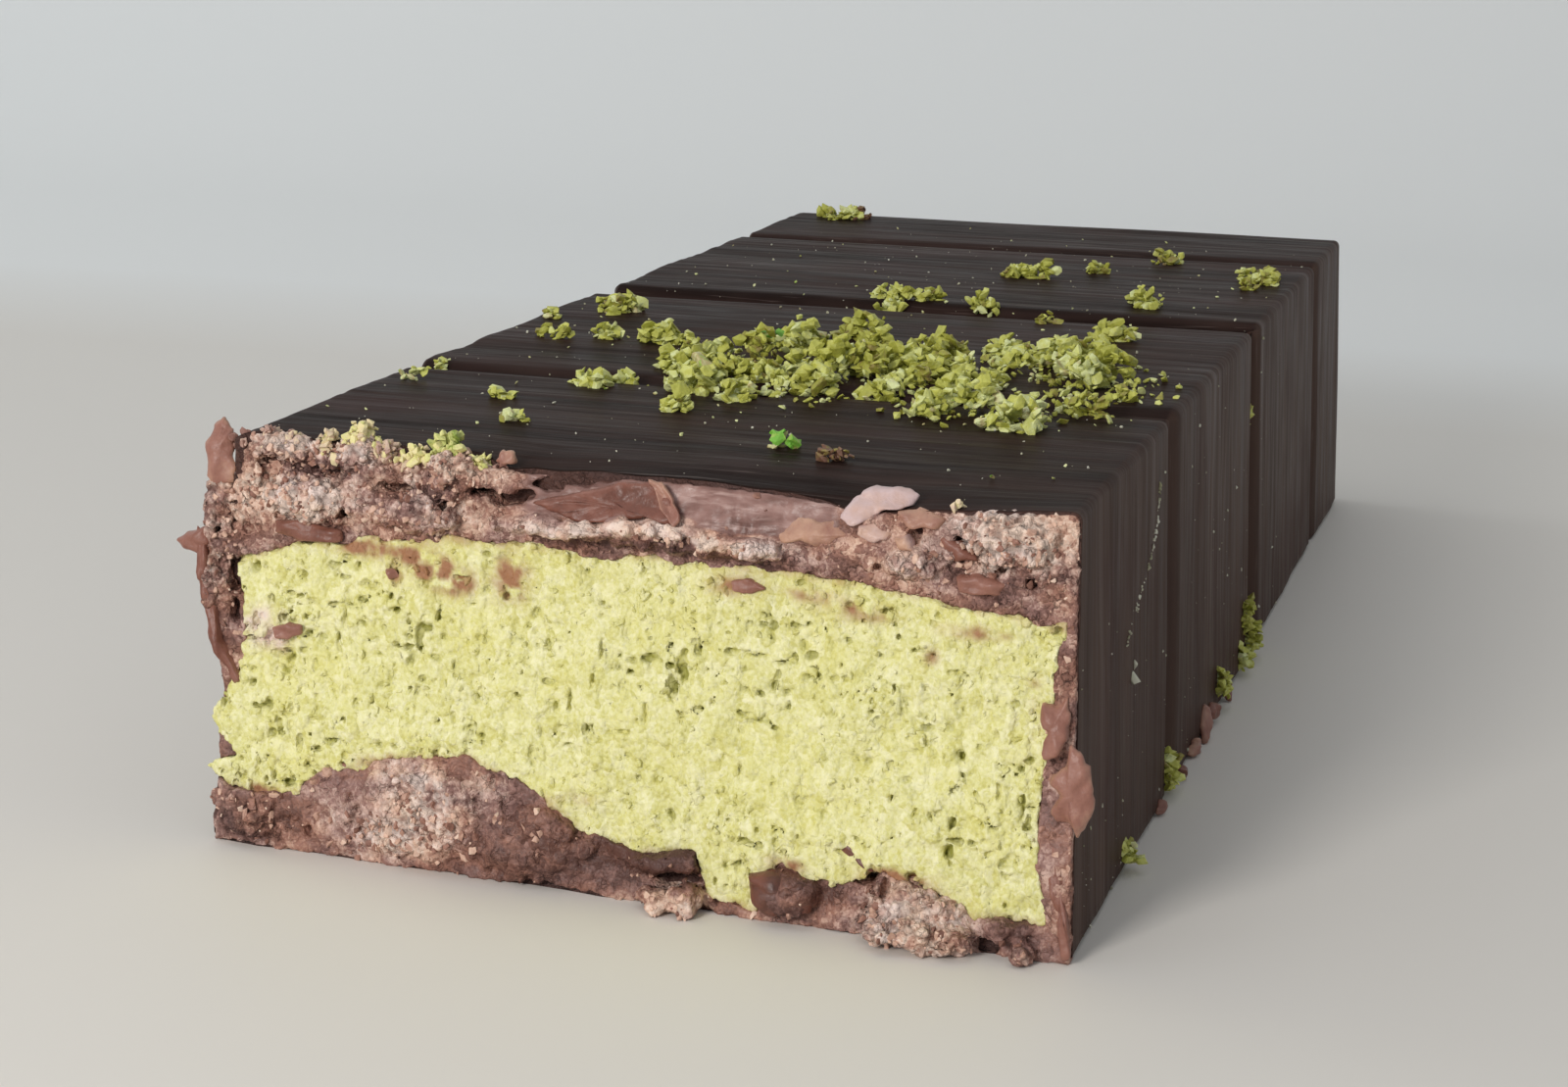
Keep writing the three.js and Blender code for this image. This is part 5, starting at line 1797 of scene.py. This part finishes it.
def tuft_points(rng):
    """Places, sizes and tints of the chips that the tufts are built of."""
    places, sizes, tints = [], [], []
    for across, top, wide, tint in TUFTS:
        amount = int(10 + 22 * wide * (top - 20.2))
        shift = np.clip(rng.normal(0, 0.36, amount), -1, 1)
        ceiling = top - 0.9 * shift ** 2
        up = mix(20.1, ceiling, rng.uniform(0, 1, amount) ** 0.8)
        depth = rng.uniform(0.2, 1.5, amount)
        places.append(to_bar(np.stack((across + shift * wide * 0.6, depth, up - 0.2 * depth), 1)))
        sizes.append(rng.uniform(0.3, 0.85, amount))
        tints.append(np.clip(tint + rng.normal(0, 0.09, amount), 0, 1))
    return np.concatenate(places), np.concatenate(sizes), np.concatenate(tints)


# ---- Floor, light and camera ----
CAMERA_PLACE = (46.64, -126.7, 50.51)
CAMERA_TURN = (16.731, 13.425, 0.913)
FOCAL_PIXELS = 3000.0
PHOTO_WIDTH = 1600.0
SENSOR_WIDTH = 36
# The floor, in metres: its half width, the radius and the start of its rise, and where it turns cooler.
FLOOR_REACH = 1.2
FLOOR_RADIUS = 0.12
FLOOR_BACK = 0.2
FLOOR_COOLER = (0.085, 0.13)
ROOM_COLOUR = (0.9, 0.95, 1.0, 1)
ROOM_STRENGTH = 0.45
# Lights, in metres and watts: [name, place, target, size, power, colour].
LIGHTS = (
    ("key_light", (-0.075, -0.31, 0.13), (0, -0.05, 0.008), 0.08, 0.58, (1.0, 0.97, 0.93)),
    ("wall_light", (-0.35, 0.1, 0.3), (-0.15, 0.22, 0.0), 0.2, 0.22, (0.9, 0.97, 1.0)),
    ("top_light", (-0.1, 0.0, 0.6), (0, 0.02, 0), 0.4, 0.35, (1.0, 0.98, 0.96)),
)


def make_camera():
    """The camera at the photograph's angle."""
    azimuth, elevation, roll = (math.radians(value) for value in CAMERA_TURN)
    back = Vector((math.sin(azimuth) * math.cos(elevation), -math.cos(azimuth) * math.cos(elevation),
                   math.sin(elevation)))
    right = (-back).cross(Vector((0, 0, 1))).normalized()
    up = right.cross(-back)
    tilted_right = math.cos(roll) * right + math.sin(roll) * up
    tilted_up = -math.sin(roll) * right + math.cos(roll) * up
    data = bpy.data.cameras.new("photo_camera")
    data.sensor_width = SENSOR_WIDTH
    data.lens = SENSOR_WIDTH * FOCAL_PIXELS / PHOTO_WIDTH
    data.clip_start = 0.001
    camera = add_object("photo_camera", data)
    turn = Matrix((tilted_right, tilted_up, back)).transposed().to_4x4()
    camera.matrix_world = Matrix.Translation(Vector(CAMERA_PLACE) * MM + ORIGIN) @ turn
    bpy.context.scene.camera = camera


def area_light(name, place, target, size, power, colour):
    """A square light that looks at a target."""
    data = bpy.data.lights.new(name, "AREA")
    data.shape = "RECTANGLE"
    data.size = data.size_y = size
    data.energy = power
    data.color = colour
    light = add_object(name, data)
    light.location = place
    light.rotation_euler = (Vector(target) - Vector(place)).to_track_quat("-Z", "Y").to_euler()


def floor_profile():
    """The floor's line from front to back, as places along and up in metres."""
    profile = [(y, 0.0) for y in (-FLOOR_REACH, 0.0, *FLOOR_COOLER, FLOOR_BACK)]
    for turn in np.radians(np.linspace(0, 90, 13))[1:]:
        profile.append((FLOOR_BACK + FLOOR_RADIUS * math.sin(turn), FLOOR_RADIUS * (1 - math.cos(turn))))
    return profile + [(FLOOR_BACK + FLOOR_RADIUS, 1.0)]


def make_floor(look):
    """A pale floor that sweeps up far behind the bar, warm in front and cooler behind."""
    profile = floor_profile()
    points = [(side * FLOOR_REACH, y, z) for y, z in profile for side in (-1, 1)]
    faces = [(2 * k, 2 * k + 1, 2 * k + 3, 2 * k + 2) for k in range(len(profile) - 1)]
    mesh = bpy.data.meshes.new("floor")
    mesh.from_pydata(points, [], faces)
    layer = mesh.attributes.new("far", "FLOAT", "POINT")
    share = fade(np.array([p[1] for p in points]), *FLOOR_COOLER)
    layer.data.foreach_set("value", share.astype(np.float32))
    mesh.polygons.foreach_set("use_smooth", np.ones(len(faces), bool))
    material, shade, shader = new_material("pale_floor")
    colour = shade.blend(shade.attribute("far"), look.floor_near, look.floor_far)
    shade.surface(shader, colour, 0.6)
    mesh.materials.append(material)
    add_object("floor", mesh)


def make_lights():
    """A soft room, a key light from the left front, and two wide lights above and behind."""
    scene = bpy.context.scene
    scene.view_settings.view_transform = "Standard"
    world = bpy.data.worlds.new("soft_room")
    scene.world = world
    world.use_nodes = True
    background = world.node_tree.nodes["Background"]
    background.inputs["Color"].default_value = ROOM_COLOUR
    background.inputs["Strength"].default_value = ROOM_STRENGTH
    for light in LIGHTS:
        area_light(*light)


def dress(piece, node):
    """Says which body a piece rides on, and hides the node that it stands for."""
    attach(piece, "root")
    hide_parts(node)


# ---- The add-on: settings, operators and panel ----


def colour_setting(title, description, colour):
    """A property that is a colour, given in screen values."""
    return FloatVectorProperty(name=title, description=description, subtype="COLOR", size=3,
                               default=rgb(*colour), min=0, max=1)


def width_setting(title, description, millimetres):
    """A property that is a small length, in metres."""
    return FloatProperty(name=title, description=description, default=millimetres * MM, min=0.03 * MM,
                         max=2 * MM, precision=5, subtype="DISTANCE", unit="LENGTH")


class BAR_PG_settings(bpy.types.PropertyGroup):
    """Colours of the bar's finishes, and the widths of its torn chips."""

    skin_dark: colour_setting("Skin dark", "Dark tone of the moulded skin", (33, 22, 19))
    skin_light: colour_setting("Skin light", "Lighter streaks of the moulded skin", (53, 38, 34))
    # The long sides' middle tone: a painted sheen, with some real wear.
    skin_sheen_and_wear: colour_setting("Skin worn", "Middle tone of the scuffed long sides", (78, 61, 54))
    skin_bloom: colour_setting("Skin bloom", "Dusty bloom on the moulded skin", (78, 62, 56))
    broken_dark: colour_setting("Broken dark", "Dark tone of torn chocolate", (92, 58, 48))
    broken_mid: colour_setting("Broken middle", "Middle tone of torn chocolate", (156, 112, 96))
    broken_pale: colour_setting("Broken pale", "Pale crumbs of torn chocolate", (216, 179, 158))
    filling_dark: colour_setting("Filling dark", "Darker grains of the filling", (200, 194, 114))
    filling_mid: colour_setting("Filling middle", "Main colour of the filling", (217, 213, 148))
    filling_pale: colour_setting("Filling pale", "Pale grains of the filling", (233, 229, 184))
    nut_green: colour_setting("Nut green", "Green of the chopped pistachio", (160, 160, 62))
    nut_pale: colour_setting("Nut pale", "Pale faces of the chopped pistachio", (222, 228, 168))
    floor_near: colour_setting("Floor near", "Colour of the floor round the bar", (222, 217, 210))
    floor_far: colour_setting("Floor far", "Colour of the floor far behind the bar", (234, 234, 232))
    smallest_chip: width_setting("Smallest chip", "Width of the finest torn chips", 0.13)
    largest_chip: width_setting("Largest chip", "Width of the coarsest torn chips", 0.5)


def look_of(context):
    """The scene's settings for the bar."""
    return context.scene.bar_settings


def shared(name, maker, *given):
    """A node tree, collection or material that is made once and then found by its name."""
    for store in (bpy.data.node_groups, bpy.data.collections, bpy.data.materials):
        if name in store:
            return store[name]
    return maker(*given)


def crumbs():
    """The texture that torn chocolate and paste share."""
    return shared("crumb_texture", crumb_group)


def torn_finish(look):
    """The finish that the shell's room and the torn chocolate share."""
    return shared("broken_chocolate", broken_material, look, crumbs())


def strewn(name, piece, mask, **values):
    """Chips strewn over a piece, as dense as the mask says."""
    tree = shared("strewn_chips", scatter_tree, "strewn_chips", True)
    chips = shared("chip_shapes", chip_shapes, CHIP_KINDS, CHIP_SEED)
    return scattered(name, tree, ground_mesh(piece, mask), chips=chips, **values)


def placed(name, places, **values):
    """A chip at each of some places, with its size and tint."""
    tree = shared("placed_chips", scatter_tree, "placed_chips", False)
    chips = shared("chip_shapes", chip_shapes, CHIP_KINDS, CHIP_SEED)
    return scattered(name, tree, points_mesh(name + "_points", *places), chips=chips, **values)


class BAR_OT_shell(bpy.types.Operator):
    """Makes the moulded shell of the bar"""

    bl_idname = "bar.moulded_shell"
    bl_label = "Moulded Shell"

    def execute(self, context):
        look = look_of(context)
        finishes = [skin_material(look), torn_finish(look)]
        dress(moulded_shell(finishes), "chocolate_shell")
        return {"FINISHED"}


class BAR_OT_torn(bpy.types.Operator):
    """Makes the torn chocolate on the cut, with its loose chips"""

    bl_idname = "bar.torn_chocolate"
    bl_label = "Torn Chocolate"

    def execute(self, context):
        look = look_of(context)
        torn = torn_chocolate(torn_finish(look))
        dress(torn, "chocolate_shell")
        chips = strewn("chocolate_chips", torn, torn_mask, finish=chip_material(look),
                       per_square_metre=8.0e6, seed=3, smallest=look.smallest_chip / CHIP_WIDTH,
                       largest=look.largest_chip / CHIP_WIDTH)
        dress(chips, "chocolate_shell")
        return {"FINISHED"}


class BAR_OT_filling(bpy.types.Operator):
    """Makes the crumbly pistachio filling, with its loose granules"""

    bl_idname = "bar.filling"
    bl_label = "Pistachio Filling"

    def execute(self, context):
        finish = filling_material(look_of(context), crumbs())
        paste = pistachio_filling(finish)
        dress(paste, "pistachio_filling")
        grains = strewn("pistachio_granules", paste, paste_mask, finish=finish, per_square_metre=2.2e6,
                        smallest=0.2, largest=0.75, seed=8)
        dress(grains, "pistachio_filling")
        return {"FINISHED"}


class BAR_OT_flakes(bpy.types.Operator):
    """Makes the torn flakes and shards of chocolate"""

    bl_idname = "bar.flakes"
    bl_label = "Chocolate Flakes"

    def execute(self, context):
        dress(chocolate_flakes(flake_material()), "chocolate_shell")
        return {"FINISHED"}


class BAR_OT_nuts(bpy.types.Operator):
    """Makes the chopped pistachio on the top and side, and the dust round it"""

    bl_idname = "bar.chopped_nuts"
    bl_label = "Chopped Pistachio"

    def execute(self, context):
        rng = np.random.default_rng(71)
        clusters, strays = cluster_points(rng), stray_points(rng)
        together = [np.concatenate(pair) for pair in zip(clusters, strays)]
        nuts = placed("chopped_pistachio", together, finish=nut_material(look_of(context)),
                      flatness=0.74, tilt=0.9, seed=5)
        dress(nuts, "chocolate_shell")
        return {"FINISHED"}


class BAR_OT_tufts(bpy.types.Operator):
    """Makes the crumbs that stand over the top edge of the cut"""

    bl_idname = "bar.edge_crumbs"
    bl_label = "Edge Crumbs"

    def execute(self, context):
        places = tuft_points(np.random.default_rng(73))
        tufts = placed("edge_crumbs", places, finish=tuft_material(), seed=11)
        dress(tufts, "chocolate_shell")
        return {"FINISHED"}


class BAR_OT_dust(bpy.types.Operator):
    """Makes the fine pale dust on the skin, and a line of it along a scuff that is a painted highlight"""

    bl_idname = "bar.dust"
    bl_label = "Nut Dust"

    def execute(self, context):
        places = dust_points(np.random.default_rng(72))
        dust = placed("nut_dust", places, finish=dust_material(), seed=9)
        dress(dust, "chocolate_shell")
        return {"FINISHED"}


class BAR_OT_stage(bpy.types.Operator):
    """Makes the floor, the lights and the camera"""

    bl_idname = "bar.stage"
    bl_label = "Stage"

    def execute(self, context):
        make_camera()
        make_floor(look_of(context))
        make_lights()
        return {"FINISHED"}


STEPS = (BAR_OT_stage, BAR_OT_shell, BAR_OT_torn, BAR_OT_filling, BAR_OT_flakes, BAR_OT_tufts, BAR_OT_nuts,
         BAR_OT_dust)


class BAR_PT_panel(bpy.types.Panel):
    """Lists the bar's pieces"""

    bl_idname = "BAR_PT_panel"
    bl_label = "Chocolate Bar"
    bl_space_type = "VIEW_3D"
    bl_region_type = "UI"
    bl_category = "Chocolate Bar"

    def draw(self, context):
        for step in STEPS:
            self.layout.operator(step.bl_idname)


CLASSES = (BAR_PG_settings, *STEPS, BAR_PT_panel)


def register():
    for cls in CLASSES:
        bpy.utils.register_class(cls)
    bpy.types.Scene.bar_settings = PointerProperty(type=BAR_PG_settings)


def unregister():
    del bpy.types.Scene.bar_settings
    for cls in reversed(CLASSES):
        bpy.utils.unregister_class(cls)


def main():
    register()
    for step in STEPS:
        group, name = step.bl_idname.split(".")
        getattr(getattr(bpy.ops, group), name)()


if __name__ == "__main__":
    main()
